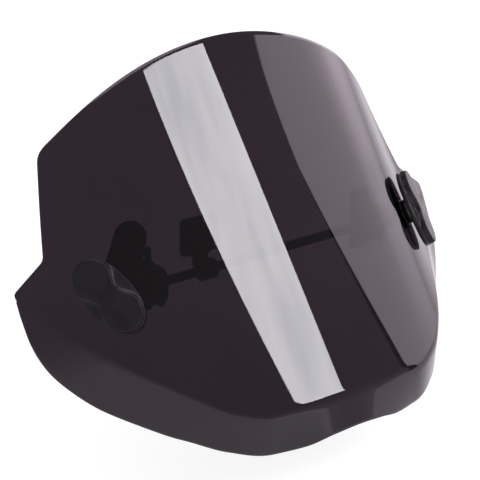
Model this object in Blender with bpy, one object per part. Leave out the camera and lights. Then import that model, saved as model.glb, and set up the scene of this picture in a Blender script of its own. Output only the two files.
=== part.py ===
"""Height-raked motorcycle touring screen on a tilting stay, as separate solids.

Frame: metres, +Z up, -Y towards the front of the motorcycle. "left" and "right" are
as seen from the front, looking at the screen's outer face, so right is +X.
The origin is the middle of the cross rod, whose axis is X: the screen tilts about it.
"""

import math

import bmesh
import bpy
from mathutils import Matrix, Vector

MM = 0.001
GAP = 0.3                      # clearance between touching pieces, mm
ROUND = 24                     # sides of the large turned pieces
SMALL_ROUND = 16               # sides of screws and sleeves
SIDES = (("left", -1.0), ("right", 1.0))
LEVELS = (("upper", 1.0), ("lower", -1.0))

# ---- screen sheet, mm, in the shield's own frame ----------------------------
# x is across, h runs up the raked panel from the crease, d is the depth behind it.
RAKE = math.radians(33.8)      # lean of the panel from the vertical
SHEET = 3.0                    # acrylic thickness
ROD_H = 134.0                  # where the cross rod lies, up the panel
ROD_D = 48.0                   # and behind it

BEND_LOW, BEND_HIGH = 113.5, 136.0        # half-distance between the two bends
BEND_WIDTH_LOW, BEND_WIDTH_HIGH = 34.6, 41.7
SLOPE_LOW, SLOPE_HIGH = 0.65, 1.29        # slope of the flanks
BEND_FADE = 135.0                         # height over which low turns into high
FLARE_X, FLARE_WIDTH, FLARE_SLOPE = 182.0, 13.0, 0.52
CROWN_LOW, CROWN_HIGH, CROWN_REACH = 6.7, 14.3, 140.0
PANEL_HEIGHT = 300.0

TOP_HEIGHT = 312.5             # top of the panel on the centre line
TOP_RADIUS = 301.0
SHOULDER = (169.5, 261.0, 17.0)           # x, h, corner radius
EAR_ROOT = (189.0, 178.5, 9.0)
EAR_CORNER = (217.0, 160.5, 4.0)
EAR_END = (216.0, 156.0)
CREASE = [(0, 0), (40, -0.5), (75, 0.5), (105, 12), (130, 34), (155, 63), (180, 98),
          (200, 133), (216, 155)]
LIP_WIDTH = [(0, 26.5), (25, 27.5), (50, 31), (80, 32.5), (110, 34), (140, 38.5),
             (165, 39.5), (185, 34.5), (200, 24), (210, 11), (216, 1.2)]
LIP_TUCK_ENDS, LIP_TUCK_MID = math.radians(13), math.radians(42)
LIP_TUCK_X = 100.0             # where the lip is tucked back the most
CREASE_BLEND = 5.0             # reach of the rounded crease on each side

# ---- clamp stack on each stud, mm from the sheet's outer face ---------------
KNOB_X, KNOB_H = 157.6, 133.6
STUD_R = 3.0
HOLE_R = 5.5                   # hole in the sheet
GROMMET_R = 11.0
GROMMET_LIP = 1.5
CLAMP_R = 12.0
CLAMP_THICK = 1.6
KNOB_BASE = GAP + GROMMET_LIP + GAP + CLAMP_THICK + GAP
KNOB_LENGTH, KNOB_WIDTH, KNOB_HEIGHT = 70.0, 39.0, 10.0
KNOB_DISC = 3.6                # height of the oval disc under the grip
WAIST_REACH = 0.36             # half-length of the waist, as a share of the knob's
WAIST_PINCH = 0.54             # share of the width taken away at the waist
KNOB_ANGLE = {"left": math.radians(24), "right": math.radians(6)}
INSERT_R, INSERT_GROOVE_R = 4.8, 4.0
INSERT_LOW, INSERT_HIGH = 0.2, 7.6        # ends of the threaded insert
GROOVE_LOW, GROOVE_HIGH, GROOVE_SLOPE = 3.0, 4.4, 0.4
POCKET_HIGH = INSERT_HIGH + 0.4
STUD_OUT = KNOB_BASE + INSERT_HIGH - 0.2
ARM_FRONT = SHEET + GAP + GROMMET_LIP + GAP
ARM_THICK = 4.0
HEAD_R, HEAD_THICK = 5.8, 4.0
BACK_WASHER, BACK_WASHER_R = 1.2, 7.0

# ---- support arms -----------------------------------------------------------
ARM_END = (133.0, 173.0)       # centre of the round upper end, x and h
ARM_FOOT_R, ARM_END_R = 13.5, 13.0
PAD_R = 8.5

# ---- cross rod and the stay on the motorcycle -------------------------------
ROD_R = 4.0
ROD_HALF = 140.0
HUB_IN, HUB_OUT, HUB_R = 127.0, 142.0, 9.0
BUSH_WALL = 1.2
WASHER_R = 8.5
BRACKET_IN, BRACKET_OUT = 107.0, 125.0
BRACKET_FRONT, BRACKET_SPLIT, BRACKET_BACK = -12.0, 0.0, 16.0
BRACKET_LOW, BRACKET_HIGH = -15.0, 15.0
LINER_WALL = 2.0
FOOT_THICK = 5.0
FOOT_LOW, FOOT_HIGH = -27.0, 27.0
FOOT_HOLE_R, FOOT_HOLE_Z = 4.4, 20.0
FOOT_SLEEVE_BORE_R = 3.2
CAP_SCREW_Z = 10.0
CAP_SCREW_R, CAP_SCREW_HEAD_R, CAP_SCREW_HEAD = 2.0, 3.5, 3.0
STEADY_X = -61.0
STEADY_HALF = 7.0
STEADY_WALL = 2.0
TAB_START, TAB_THICK = 0.6, 3.4
TAB_HALF, TAB_CORNER = 19.0, 7.0          # the plate above the clip
TAB_LOW, TAB_HIGH = 12.0, 44.0
TAB_BOLT_Z = 28.0
BOLT_FLANGE_R, BOLT_HEAD_R, BOLT_HEAD = 8.5, 6.0, 4.5


# ---- materials --------------------------------------------------------------
def material(name, colour, roughness, metallic=0.0):
    mat = bpy.data.materials.new(name)
    mat.use_nodes = True
    shader = mat.node_tree.nodes["Principled BSDF"]
    shader.inputs["Base Color"].default_value = (*colour, 1.0)
    shader.inputs["Roughness"].default_value = roughness
    shader.inputs["Metallic"].default_value = metallic
    return mat


def smoked_acrylic():
    return material("smoked_acrylic", (0.021, 0.015, 0.021), 0.04)


def knob_plastic():
    return material("knob_plastic", (0.014, 0.011, 0.013), 0.55)


def stay_plastic():
    return material("stay_plastic", (0.016, 0.015, 0.018), 0.5)


def steel():
    return material("steel", (0.56, 0.57, 0.58), 0.3, 1.0)


def black_steel():
    return material("black_steel", (0.03, 0.03, 0.035), 0.4, 0.6)


def brass():
    return material("brass", (0.75, 0.56, 0.27), 0.3, 1.0)


def rubber():
    return material("rubber", (0.012, 0.012, 0.012), 0.8)


def nylon():
    return material("nylon", (0.35, 0.34, 0.32), 0.5)


# ---- small geometry helpers -------------------------------------------------


def soft_ramp(x, start, width):
    """Zero before start, then a slope of one, rounded over width; even in x."""
    half = width / 2.0
    return (half * math.log1p(math.exp((x - start) / half))
            + half * math.log1p(math.exp((-x - start) / half))
            - 2.0 * half * math.log1p(math.exp(-start / half)))


def panel_depth(x, h):
    """Depth of the shield's outer face behind its centre line."""
    fade = math.exp(-max(h, -30.0) / BEND_FADE)
    start = BEND_HIGH + (BEND_LOW - BEND_HIGH) * fade
    width = BEND_WIDTH_HIGH + (BEND_WIDTH_LOW - BEND_WIDTH_HIGH) * fade
    slope = SLOPE_HIGH + (SLOPE_LOW - SLOPE_HIGH) * fade
    rise = min(max(h / PANEL_HEIGHT, -0.2), 1.2)
    crown = CROWN_LOW + (CROWN_HIGH - CROWN_LOW) * rise
    bulge = crown * (x / 100.0) ** 2 * math.exp(-((x / CROWN_REACH) ** 2))
    flank = slope * soft_ramp(x, start, width)
    flare = (slope - FLARE_SLOPE) * soft_ramp(x, FLARE_X, FLARE_WIDTH)
    return flank - flare + bulge


def place(x, h, d):
    """A point of the shield's frame, in mm, in the part's frame."""
    up = h - ROD_H
    back = d - ROD_D
    return Vector((x, up * math.sin(RAKE) + back * math.cos(RAKE),
                   up * math.cos(RAKE) - back * math.sin(RAKE)))


def panel_point(x, h):
    return place(x, h, panel_depth(x, h))


def panel_normal(x, h):
    """Outward normal of the outer face, towards the front."""
    step = 0.5
    across = panel_point(x + step, h) - panel_point(x - step, h)
    along = panel_point(x, h + step) - panel_point(x, h - step)
    return across.cross(along).normalized()


def eased(points, x):
    """Smooth curve through points with rising x (monotone cubic)."""
    xs = [p[0] for p in points]
    ys = [p[1] for p in points]
    steps = [(ys[i + 1] - ys[i]) / (xs[i + 1] - xs[i]) for i in range(len(xs) - 1)]
    tangents = [0.0 if xs[0] == 0 else steps[0]]
    for before, after in zip(steps, steps[1:]):
        same_way = before * after > 0
        tangents.append(2 * before * after / (before + after) if same_way else 0.0)
    tangents.append(steps[-1])
    x = min(max(x, xs[0]), xs[-1])
    i = max(k for k in range(len(xs) - 1) if xs[k] <= x)
    span = xs[i + 1] - xs[i]
    t = (x - xs[i]) / span
    from_values = (2 * t ** 3 - 3 * t ** 2 + 1) * ys[i] + (3 * t ** 2 - 2 * t ** 3) * ys[i + 1]
    from_slopes = (t ** 3 - 2 * t ** 2 + t) * tangents[i] + (t ** 3 - t ** 2) * tangents[i + 1]
    return from_values + from_slopes * span


def fillet(before, corner, after, radius, steps=6):
    """Points of the arc that rounds a corner of an outline."""
    a = (Vector(before) - Vector(corner)).normalized()
    b = (Vector(after) - Vector(corner)).normalized()
    half = a.angle(b) / 2.0
    reach = radius / math.tan(half)
    centre = Vector(corner) + (a + b).normalized() * (radius / math.sin(half))
    first = Vector(corner) + a * reach - centre
    last = Vector(corner) + b * reach - centre
    arc = []
    for k in range(steps + 1):
        mixed = first.lerp(last, k / steps).normalized() * radius
        arc.append(tuple(centre + mixed))
    return arc


def top_outline():
    """Right half of the sheet's free edge, from the centre line to the ear's end."""
    points = []
    reach = SHOULDER[0] - SHOULDER[2]
    for k in range(16):
        x = reach * k / 15
        points.append((x, TOP_HEIGHT - TOP_RADIUS + math.sqrt(TOP_RADIUS ** 2 - x ** 2)))
    points += fillet(points[-1], SHOULDER[:2], EAR_ROOT[:2], SHOULDER[2])
    points += fillet(SHOULDER[:2], EAR_ROOT[:2], EAR_CORNER[:2], EAR_ROOT[2])
    points += fillet(EAR_ROOT[:2], EAR_CORNER[:2], EAR_END, EAR_CORNER[2], 3)
    return points


def resample(points, stations):
    """Points at the given shares of a polyline's length."""
    lengths = [0.0]
    for a, b in zip(points, points[1:]):
        lengths.append(lengths[-1] + math.dist(a, b))
    result = []
    for share in stations:
        target = share * lengths[-1]
        i = 0
        while i < len(points) - 2 and lengths[i + 1] < target:
            i += 1
        span = lengths[i + 1] - lengths[i]
        t = (target - lengths[i]) / span if span else 0.0
        result.append(tuple(Vector(points[i]).lerp(Vector(points[i + 1]), t)))
    return result


def frame_along(origin, axis, turn=0.0):
    """Matrix whose Z lies along axis; origin in mm, the result in metres."""
    z = Vector(axis).normalized()
    guide = Vector((0.0, math.sin(RAKE), math.cos(RAKE)))
    y = (guide - z * guide.dot(z)).normalized()
    x = y.cross(z)
    rotation = Matrix((x, y, z)).transposed() @ Matrix.Rotation(turn, 3, "Z")
    return Matrix.Translation(Vector(origin) * MM) @ rotation.to_4x4()


ALONG_X = Matrix.Rotation(math.pi / 2, 4, "Y")


# ---- mesh and object helpers ------------------------------------------------
def add_object(name, bm, mat, matrix=None):
    """Store a bmesh, built in mm about its own origin, as a named object."""
    bmesh.ops.recalc_face_normals(bm, faces=bm.faces)
    bmesh.ops.scale(bm, vec=(MM, MM, MM), verts=bm.verts)
    mesh = bpy.data.meshes.new(name)
    bm.to_mesh(mesh)
    bm.free()
    mesh.materials.append(mat)
    mesh.shade_smooth()
    mesh.set_sharp_from_angle(angle=math.radians(35))
    obj = bpy.data.objects.new(name, mesh)
    bpy.context.scene.collection.objects.link(obj)
    if matrix is not None:
        obj.matrix_world = matrix
    return obj


def helper(obj):
    """Mark an object that only shapes others."""
    obj.hide_render = True
    obj.display_type = "WIRE"
    return obj


def combine(obj, operand, operation):
    modifier = obj.modifiers.new(operand.name, "BOOLEAN")
    modifier.operation = operation
    modifier.solver = "EXACT"
    modifier.object = helper(operand)


def turned(points, sides=ROUND, closed=False):
    """Turn (radius, z) points about Z; a closed profile makes a ring."""
    bm = bmesh.new()
    rings = []
    for radius, z in points:
        if radius == 0:
            rings.append([bm.verts.new((0, 0, z))])
            continue
        angles = [2 * math.pi * k / sides for k in range(sides)]
        points_round = [(radius * math.cos(a), radius * math.sin(a), z) for a in angles]
        rings.append([bm.verts.new(p) for p in points_round])
    pairs = list(zip(rings, rings[1:]))
    if closed:
        pairs.append((rings[-1], rings[0]))
    for a, b in pairs:
        for k in range(sides):
            n = (k + 1) % sides
            if len(a) == 1:
                bm.faces.new((a[0], b[k], b[n]))
            elif len(b) == 1:
                bm.faces.new((a[k], a[n], b[0]))
            else:
                bm.faces.new((a[k], a[n], b[n], b[k]))
    return bm


def tube(inner, outer, low, high, sides=ROUND):
    return turned([(inner, low), (outer, low), (outer, high), (inner, high)], sides, True)


def rod(radius, low, high, sides=ROUND, chamfer=0.0):
    points = [(0, low), (radius - chamfer, low)]
    if chamfer:
        points += [(radius, low + chamfer), (radius, high - chamfer)]
    points += [(radius - chamfer, high), (0, high)]
    return turned(points, sides)


def prism(outline, low, high):
    """Outline points (x, y) raised from z = low to z = high."""
    bm = bmesh.new()
    bottom = [bm.verts.new((x, y, low)) for x, y in outline]
    top = [bm.verts.new((x, y, high)) for x, y in outline]
    bm.faces.new(list(reversed(bottom)))
    bm.faces.new(top)
    for k in range(len(outline)):
        n = (k + 1) % len(outline)
        bm.faces.new((bottom[k], bottom[n], top[n], top[k]))
    return bm


def block(low, high):
    """Axis-aligned block between two corners."""
    outline = [(low[0], low[1]), (high[0], low[1]), (high[0], high[1]), (low[0], high[1])]
    return prism(outline, low[2], high[2])


def skin(rows):
    """Closed body from rings of points, with flat ends."""
    bm = bmesh.new()
    rings = [[bm.verts.new(p) for p in row] for row in rows]
    count = len(rings[0])
    for a, b in zip(rings, rings[1:]):
        for k in range(count):
            n = (k + 1) % count
            bm.faces.new((a[k], a[n], b[n], b[k]))
    bm.faces.new(list(reversed(rings[0])))
    bm.faces.new(rings[-1])
    return bm


# ---- the sheet --------------------------------------------------------------
def sheet_columns(half_columns):
    """Station pairs (free edge point, crease point), from the left ear to the right."""
    stations = [k / half_columns for k in range(half_columns + 1)]
    upper = resample(top_outline(), stations)
    crease = [(x, eased(CREASE, x)) for x in [CREASE[-1][0] * k / 200 for k in range(201)]]
    lower = resample(crease, stations)
    right = list(zip(upper, lower))
    left = [((-a[0], a[1]), (-b[0], b[1])) for a, b in reversed(right[1:])]
    return left + right


def lip_direction(x, tangent, normal):
    """The way the lip hangs from the crease: down, tucked towards the rear."""
    down = tangent.cross(normal).normalized()
    if down.z > 0:
        down = -down
    share = min(abs(x) / LIP_TUCK_X, 2.0)
    tuck = LIP_TUCK_ENDS + (LIP_TUCK_MID - LIP_TUCK_ENDS) * math.sin(math.pi * share / 2) ** 2
    return down * math.cos(tuck) - normal * math.sin(tuck)


def sheet_grid(half_columns, panel_rows, bend_rows, lip_rows):
    """Outer-face points: rows from the free edge over the crease to the lip's edge."""
    columns = sheet_columns(half_columns)
    creases = [panel_point(*low) for _, low in columns]
    grid = []
    for index, (high, low) in enumerate(columns):
        before = creases[max(index - 1, 0)]
        after = creases[min(index + 1, len(columns) - 1)]
        tangent = (after - before).normalized()
        corner = creases[index]
        drop = lip_direction(low[0], tangent, panel_normal(*low))
        width = eased(LIP_WIDTH, abs(low[0]))
        height = math.dist(high, low)
        reach = min(CREASE_BLEND, height * 0.3, width * 0.4)
        column = []
        for k in range(panel_rows + 1):
            share = (1.0 - reach / height) * k / panel_rows
            x = high[0] + (low[0] - high[0]) * share
            h = high[1] + (low[1] - high[1]) * share
            column.append(panel_point(x, h))
        start = column[-1]
        finish = corner + drop * reach
        for k in range(1, bend_rows + 1):
            t = k / (bend_rows + 1)
            column.append(start * (1 - t) ** 2 + corner * 2 * t * (1 - t) + finish * t ** 2)
        for k in range(lip_rows + 1):
            column.append(finish + drop * (width - reach) * k / lip_rows)
        grid.append(column)
    return grid


def make_sheet(mat):
    grid = sheet_grid(half_columns=30, panel_rows=12, bend_rows=2, lip_rows=2)
    bm = bmesh.new()
    verts = [[bm.verts.new(p) for p in column] for column in grid]
    for a, b in zip(verts, verts[1:]):
        for k in range(len(a) - 1):
            bm.faces.new((a[k], a[k + 1], b[k + 1], b[k]))
    sheet = add_object("screen_sheet", bm, mat)
    solid = sheet.modifiers.new("thickness", "SOLIDIFY")
    solid.thickness = SHEET * MM
    solid.offset = -1.0
    solid.use_even_offset = True
    for side, sign in SIDES:
        cutter = add_object("sheet_hole_" + side, rod(HOLE_R, -12, 12), mat, stud_frame(sign))
        combine(sheet, cutter, "DIFFERENCE")


# ---- clamp stack, one per side ----------------------------------------------
def stud_frame(sign, turn=0.0):
    """Z along the stud, away from the sheet; the origin on the sheet's outer face."""
    point = panel_point(sign * KNOB_X, KNOB_H)
    normal = panel_normal(sign * KNOB_X, KNOB_H)
    return frame_along(point, normal, turn)


def knob_rings():
    """Oval disc with a grip that is pinched at its waist."""
    half_length = KNOB_LENGTH / 2
    half_width = KNOB_WIDTH / 2
    top = KNOB_HEIGHT
    sides = 2 * ROUND
    squareness = 0.9           # below one, so that the oval is a little fuller
    # height, size as a share of the rim's, share of the waist's pinch
    levels = [(0.0, 0.97, 0.0), (0.8, 1.0, 0.0), (KNOB_DISC - 0.8, 1.0, 0.0), (KNOB_DISC, 0.99, 0.2),
              (KNOB_DISC + 1.6, 0.985, 0.8), (top - 2.0, 0.98, 0.96), (top - 0.6, 0.965, 1.0),
              (top, 0.93, 1.0)]
    rings = []
    for z, scale, share in levels:
        ring = []
        for k in range(sides):
            angle = 2 * math.pi * k / sides
            cosine = math.copysign(abs(math.cos(angle)) ** squareness, math.cos(angle))
            sine = math.copysign(abs(math.sin(angle)) ** squareness, math.sin(angle))
            along = half_length * scale * cosine
            nearness = math.exp(-((along / (WAIST_REACH * half_length)) ** 2))
            waist = 1.0 - WAIST_PINCH * share * nearness
            ring.append((half_width * scale * waist * sine, along, z))
        rings.append(ring)
    return rings


def make_knob(side, sign, mat, insert_mat):
    frame = stud_frame(sign, KNOB_ANGLE[side]) @ Matrix.Translation((0, 0, KNOB_BASE * MM))
    knob = add_object("knob_" + side, skin(knob_rings()), mat, frame)
    pocket = rod(INSERT_R + GAP, -2, POCKET_HIGH)
    combine(knob, add_object("knob_pocket_" + side, pocket, mat, frame), "DIFFERENCE")
    bore = STUD_R + GAP
    points = [(bore, INSERT_LOW), (INSERT_R, INSERT_LOW), (INSERT_R, GROOVE_LOW - GROOVE_SLOPE),
              (INSERT_GROOVE_R, GROOVE_LOW), (INSERT_GROOVE_R, GROOVE_HIGH),
              (INSERT_R, GROOVE_HIGH + GROOVE_SLOPE), (INSERT_R, INSERT_HIGH), (bore, INSERT_HIGH)]
    add_object("knob_insert_" + side, turned(points, ROUND, True), insert_mat, frame)


def make_clamp_washer(side, sign, mat):
    low = GAP + GROMMET_LIP + GAP
    points = [(STUD_R + GAP, low), (CLAMP_R - 0.4, low), (CLAMP_R, low + 0.4),
              (CLAMP_R, low + CLAMP_THICK - 0.4), (CLAMP_R - 0.4, low + CLAMP_THICK),
              (STUD_R + GAP, low + CLAMP_THICK)]
    add_object("clamp_washer_" + side, turned(points, ROUND, True), mat, stud_frame(sign))


def make_grommet(side, sign, mat):
    """Rubber ring with a groove that the sheet's hole sits in."""
    inner = STUD_R + GAP
    waist = HOLE_R - GAP
    front, back = GAP, -SHEET - GAP
    points = [(inner, back - GROMMET_LIP), (GROMMET_R - 0.5, back - GROMMET_LIP),
              (GROMMET_R, back - GROMMET_LIP + 0.5), (GROMMET_R, back), (waist, back),
              (waist, front), (GROMMET_R, front), (GROMMET_R, front + GROMMET_LIP - 0.5),
              (GROMMET_R - 0.5, front + GROMMET_LIP), (inner, front + GROMMET_LIP)]
    add_object("grommet_" + side, turned(points, ROUND, True), mat, stud_frame(sign))


def make_stud(side, sign, mat):
    """Long screw: head behind the arm, shank out through the sheet into the knob."""
    seat = -(ARM_FRONT + ARM_THICK + GAP + BACK_WASHER + GAP)
    shank = rod(STUD_R, seat, STUD_OUT, SMALL_ROUND, 0.6)
    stud = add_object("stud_" + side, shank, mat, stud_frame(sign))
    head = add_object("stud_head_" + side, rod(HEAD_R, seat - HEAD_THICK, seat + 0.2, 6), mat,
                      stud_frame(sign))
    combine(stud, head, "UNION")


def make_back_washer(side, sign, mat):
    high = -(ARM_FRONT + ARM_THICK + GAP)
    bm = tube(STUD_R + GAP, BACK_WASHER_R, high - BACK_WASHER, high)
    add_object("stud_washer_" + side, bm, mat, stud_frame(sign))


# ---- support arms -----------------------------------------------------------
def arm_station(sign, share):
    """Centre line of an arm: the point on the sheet, its normal and its side way."""
    x = sign * (KNOB_X + (ARM_END[0] - KNOB_X) * share)
    h = KNOB_H + (ARM_END[1] - KNOB_H) * share
    step = 0.02
    ahead = panel_point(x + sign * (ARM_END[0] - KNOB_X) * step, h + (ARM_END[1] - KNOB_H) * step)
    point = panel_point(x, h)
    normal = panel_normal(x, h)
    tangent = (ahead - point).normalized()
    return point, normal, tangent, tangent.cross(normal)


def arm_outline(steps):
    """Rows (share of the centre line, overrun along it, half-width) of a stadium."""
    rows = []
    for k in range(5):
        angle = math.radians(80) * (1 - k / 4)
        rows.append((0.0, -ARM_FOOT_R * math.sin(angle), ARM_FOOT_R * math.cos(angle)))
    for k in range(1, steps):
        share = k / steps
        rows.append((share, 0.0, ARM_FOOT_R + (ARM_END_R - ARM_FOOT_R) * share))
    for k in range(5):
        angle = math.radians(80) * k / 4
        rows.append((1.0, ARM_END_R * math.sin(angle), ARM_END_R * math.cos(angle)))
    return rows


def make_arm(side, sign, mat):
    rings = []
    for share, overrun, half in arm_outline(8):
        point, normal, tangent, across = arm_station(sign, share)
        centre = point + tangent * overrun
        front = centre - normal * ARM_FRONT
        back = centre - normal * (ARM_FRONT + ARM_THICK)
        rings.append([front - across * half, front + across * half,
                      back + across * half, back - across * half])
    arm = add_object("support_arm_" + side, skin(rings), mat)

    reach = sign * (HUB_OUT - HUB_IN)
    hub_frame = Matrix.Translation((sign * HUB_IN * MM, 0, 0)) @ ALONG_X
    hub = add_object("arm_hub_" + side, rod(HUB_R, min(0, reach), max(0, reach)), mat, hub_frame)
    combine(arm, hub, "UNION")

    outward = Vector((0, *panel_normal(sign * KNOB_X, KNOB_H).yz)).normalized()
    rib_frame = Matrix((Vector((sign, 0, 0)), outward, Vector((sign, 0, 0)).cross(outward)))
    rib_outline = [(HUB_IN, 2.0), (HUB_OUT - 2.0, 2.0), (HUB_OUT + 4.0, 7.0), (HUB_IN + 3.0, 15.5),
                   (HUB_IN, 15.0)]
    rib = add_object("arm_rib_" + side, prism(rib_outline, -4.0, 4.0), mat,
                     rib_frame.transposed().to_4x4())
    combine(arm, rib, "UNION")

    bore_low, bore_high = sorted((-sign * 2.0, sign * (ROD_HALF + 0.8 - HUB_IN)))
    bore = rod(ROD_R + BUSH_WALL + 2 * GAP, bore_low, bore_high)
    combine(arm, add_object("arm_bore_" + side, bore, mat, hub_frame), "DIFFERENCE")
    hole = rod(STUD_R + GAP, -16, 2, SMALL_ROUND)
    combine(arm, add_object("arm_hole_" + side, hole, mat, stud_frame(sign)), "DIFFERENCE")


def make_arm_pad(side, sign, mat):
    point, normal, _, _ = arm_station(sign, 1.0)
    pad = rod(PAD_R, -(ARM_FRONT - GAP), -(SHEET + 0.9), SMALL_ROUND)
    add_object("arm_pad_" + side, pad, mat, frame_along(point, normal))


# ---- cross rod and stay -----------------------------------------------------
def across_frame(x):
    """Z along +X, from the given x on the rod's axis."""
    return Matrix.Translation((x * MM, 0, 0)) @ ALONG_X


def make_cross_rod(mat):
    add_object("cross_rod", rod(ROD_R, -ROD_HALF, ROD_HALF, ROUND, 0.8), mat, across_frame(0))


def make_hub_bush(side, sign, mat):
    """Flanged bush between the rod and the arm's hub."""
    inner = ROD_R + GAP
    outer = inner + BUSH_WALL
    flange = HUB_IN - GAP
    ring = [(inner, flange - 1.2), (WASHER_R, flange - 1.2), (WASHER_R, flange),
            (outer, flange), (outer, ROD_HALF - 0.5), (inner, ROD_HALF - 0.5)]
    bm = turned([(r, z if sign > 0 else -z) for r, z in ring], ROUND, True)
    add_object("hub_bush_" + side, bm, mat, across_frame(0))


def bolt_frame(sign, y, z):
    """Z towards the front, from a point at the bracket's mid-width."""
    middle = sign * (BRACKET_IN + BRACKET_OUT) / 2
    return Matrix.Translation((middle * MM, y * MM, z * MM)) @ Matrix.Rotation(math.pi / 2, 4, "X")


def slab(sign, x_pair, y_pair, z_pair):
    xs = sorted((sign * x_pair[0], sign * x_pair[1]))
    return block((xs[0], y_pair[0], z_pair[0]), (xs[1], y_pair[1], z_pair[1]))


def make_bracket(side, sign, mat):
    """Rear half of the rod clamp, with the foot that bolts to the motorcycle."""
    x_pair = (BRACKET_IN, BRACKET_OUT)
    middle = sign * (BRACKET_IN + BRACKET_OUT) / 2
    body = slab(sign, x_pair, (BRACKET_SPLIT + GAP / 2, BRACKET_BACK), (BRACKET_LOW, BRACKET_HIGH))
    bracket = add_object("bracket_" + side, body, mat)
    foot = slab(sign, x_pair, (BRACKET_BACK - FOOT_THICK, BRACKET_BACK), (FOOT_LOW, FOOT_HIGH))
    foot = add_object("bracket_foot_" + side, foot, mat)
    combine(bracket, foot, "UNION")
    seat_r = ROD_R + GAP + LINER_WALL + GAP
    seat = add_object("bracket_seat_" + side, rod(seat_r, -20, 20), mat, across_frame(middle))
    combine(bracket, seat, "DIFFERENCE")
    for name, level in LEVELS:
        hole = rod(FOOT_HOLE_R, -10, 20, SMALL_ROUND)
        hole_at = bolt_frame(sign, BRACKET_BACK, level * FOOT_HOLE_Z)
        combine(bracket, add_object(f"foot_hole_{side}_{name}", hole, mat, hole_at), "DIFFERENCE")
        tap = rod(CAP_SCREW_R + GAP, -13, 30, SMALL_ROUND)
        tap_at = bolt_frame(sign, 0, level * CAP_SCREW_Z)
        combine(bracket, add_object(f"cap_tap_{side}_{name}", tap, mat, tap_at), "DIFFERENCE")


def make_bracket_cap(side, sign, mat):
    """Front half of the rod clamp."""
    middle = sign * (BRACKET_IN + BRACKET_OUT) / 2
    half = (BRACKET_OUT - BRACKET_IN) / 2
    low, high, front = BRACKET_LOW, BRACKET_HIGH, BRACKET_FRONT
    split = BRACKET_SPLIT - GAP / 2
    outline = [(split, low), (split, high), (front + 6, high), (front + 2, high - 3),
               (front, high - 8), (front, low + 8), (front + 2, low + 3), (front + 6, low)]
    frame = Matrix(((0, 0, 1, middle * MM), (1, 0, 0, 0), (0, 1, 0, 0), (0, 0, 0, 1)))
    cap = add_object("bracket_cap_" + side, prism(outline, -half, half), mat, frame)
    seat_r = ROD_R + GAP + LINER_WALL + GAP
    seat = add_object("cap_seat_" + side, rod(seat_r, -20, 20), mat, across_frame(middle))
    combine(cap, seat, "DIFFERENCE")
    for name, level in LEVELS:
        hole = rod(CAP_SCREW_R + GAP, -3, 30, SMALL_ROUND)
        hole_at = bolt_frame(sign, 0, level * CAP_SCREW_Z)
        combine(cap, add_object(f"cap_hole_{side}_{name}", hole, mat, hole_at), "DIFFERENCE")


def make_cap_screws(side, sign, mat):
    """Cap screws with a round socket in the head."""
    seat = -BRACKET_FRONT + GAP
    top = seat + CAP_SCREW_HEAD
    floor = seat + 1.2
    socket = 1.5
    points = [(0, -11.5), (CAP_SCREW_R - 0.5, -11.5), (CAP_SCREW_R, -11), (CAP_SCREW_R, seat),
              (CAP_SCREW_HEAD_R, seat), (CAP_SCREW_HEAD_R, top - 0.6),
              (CAP_SCREW_HEAD_R - 0.6, top), (socket, top), (socket, floor), (0, floor)]
    for name, level in LEVELS:
        screw_at = bolt_frame(sign, 0, level * CAP_SCREW_Z)
        add_object(f"cap_screw_{side}_{name}", turned(points, SMALL_ROUND), mat, screw_at)


def make_rod_liner(side, sign, mat):
    middle = sign * (BRACKET_IN + BRACKET_OUT) / 2
    half = (BRACKET_OUT - BRACKET_IN) / 2 - 0.5
    inner = ROD_R + GAP
    liner = tube(inner, inner + LINER_WALL, -half, half)
    add_object("rod_liner_" + side, liner, mat, across_frame(middle))


def make_foot_sleeves(side, sign, mat):
    """Steel sleeves in the feet, which take the squeeze of the mounting bolts."""
    for name, level in LEVELS:
        sleeve = tube(FOOT_SLEEVE_BORE_R, FOOT_HOLE_R - GAP, 0.0, FOOT_THICK, SMALL_ROUND)
        sleeve_at = bolt_frame(sign, BRACKET_BACK, level * FOOT_HOLE_Z)
        add_object(f"foot_sleeve_{side}_{name}", sleeve, mat, sleeve_at)


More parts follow.
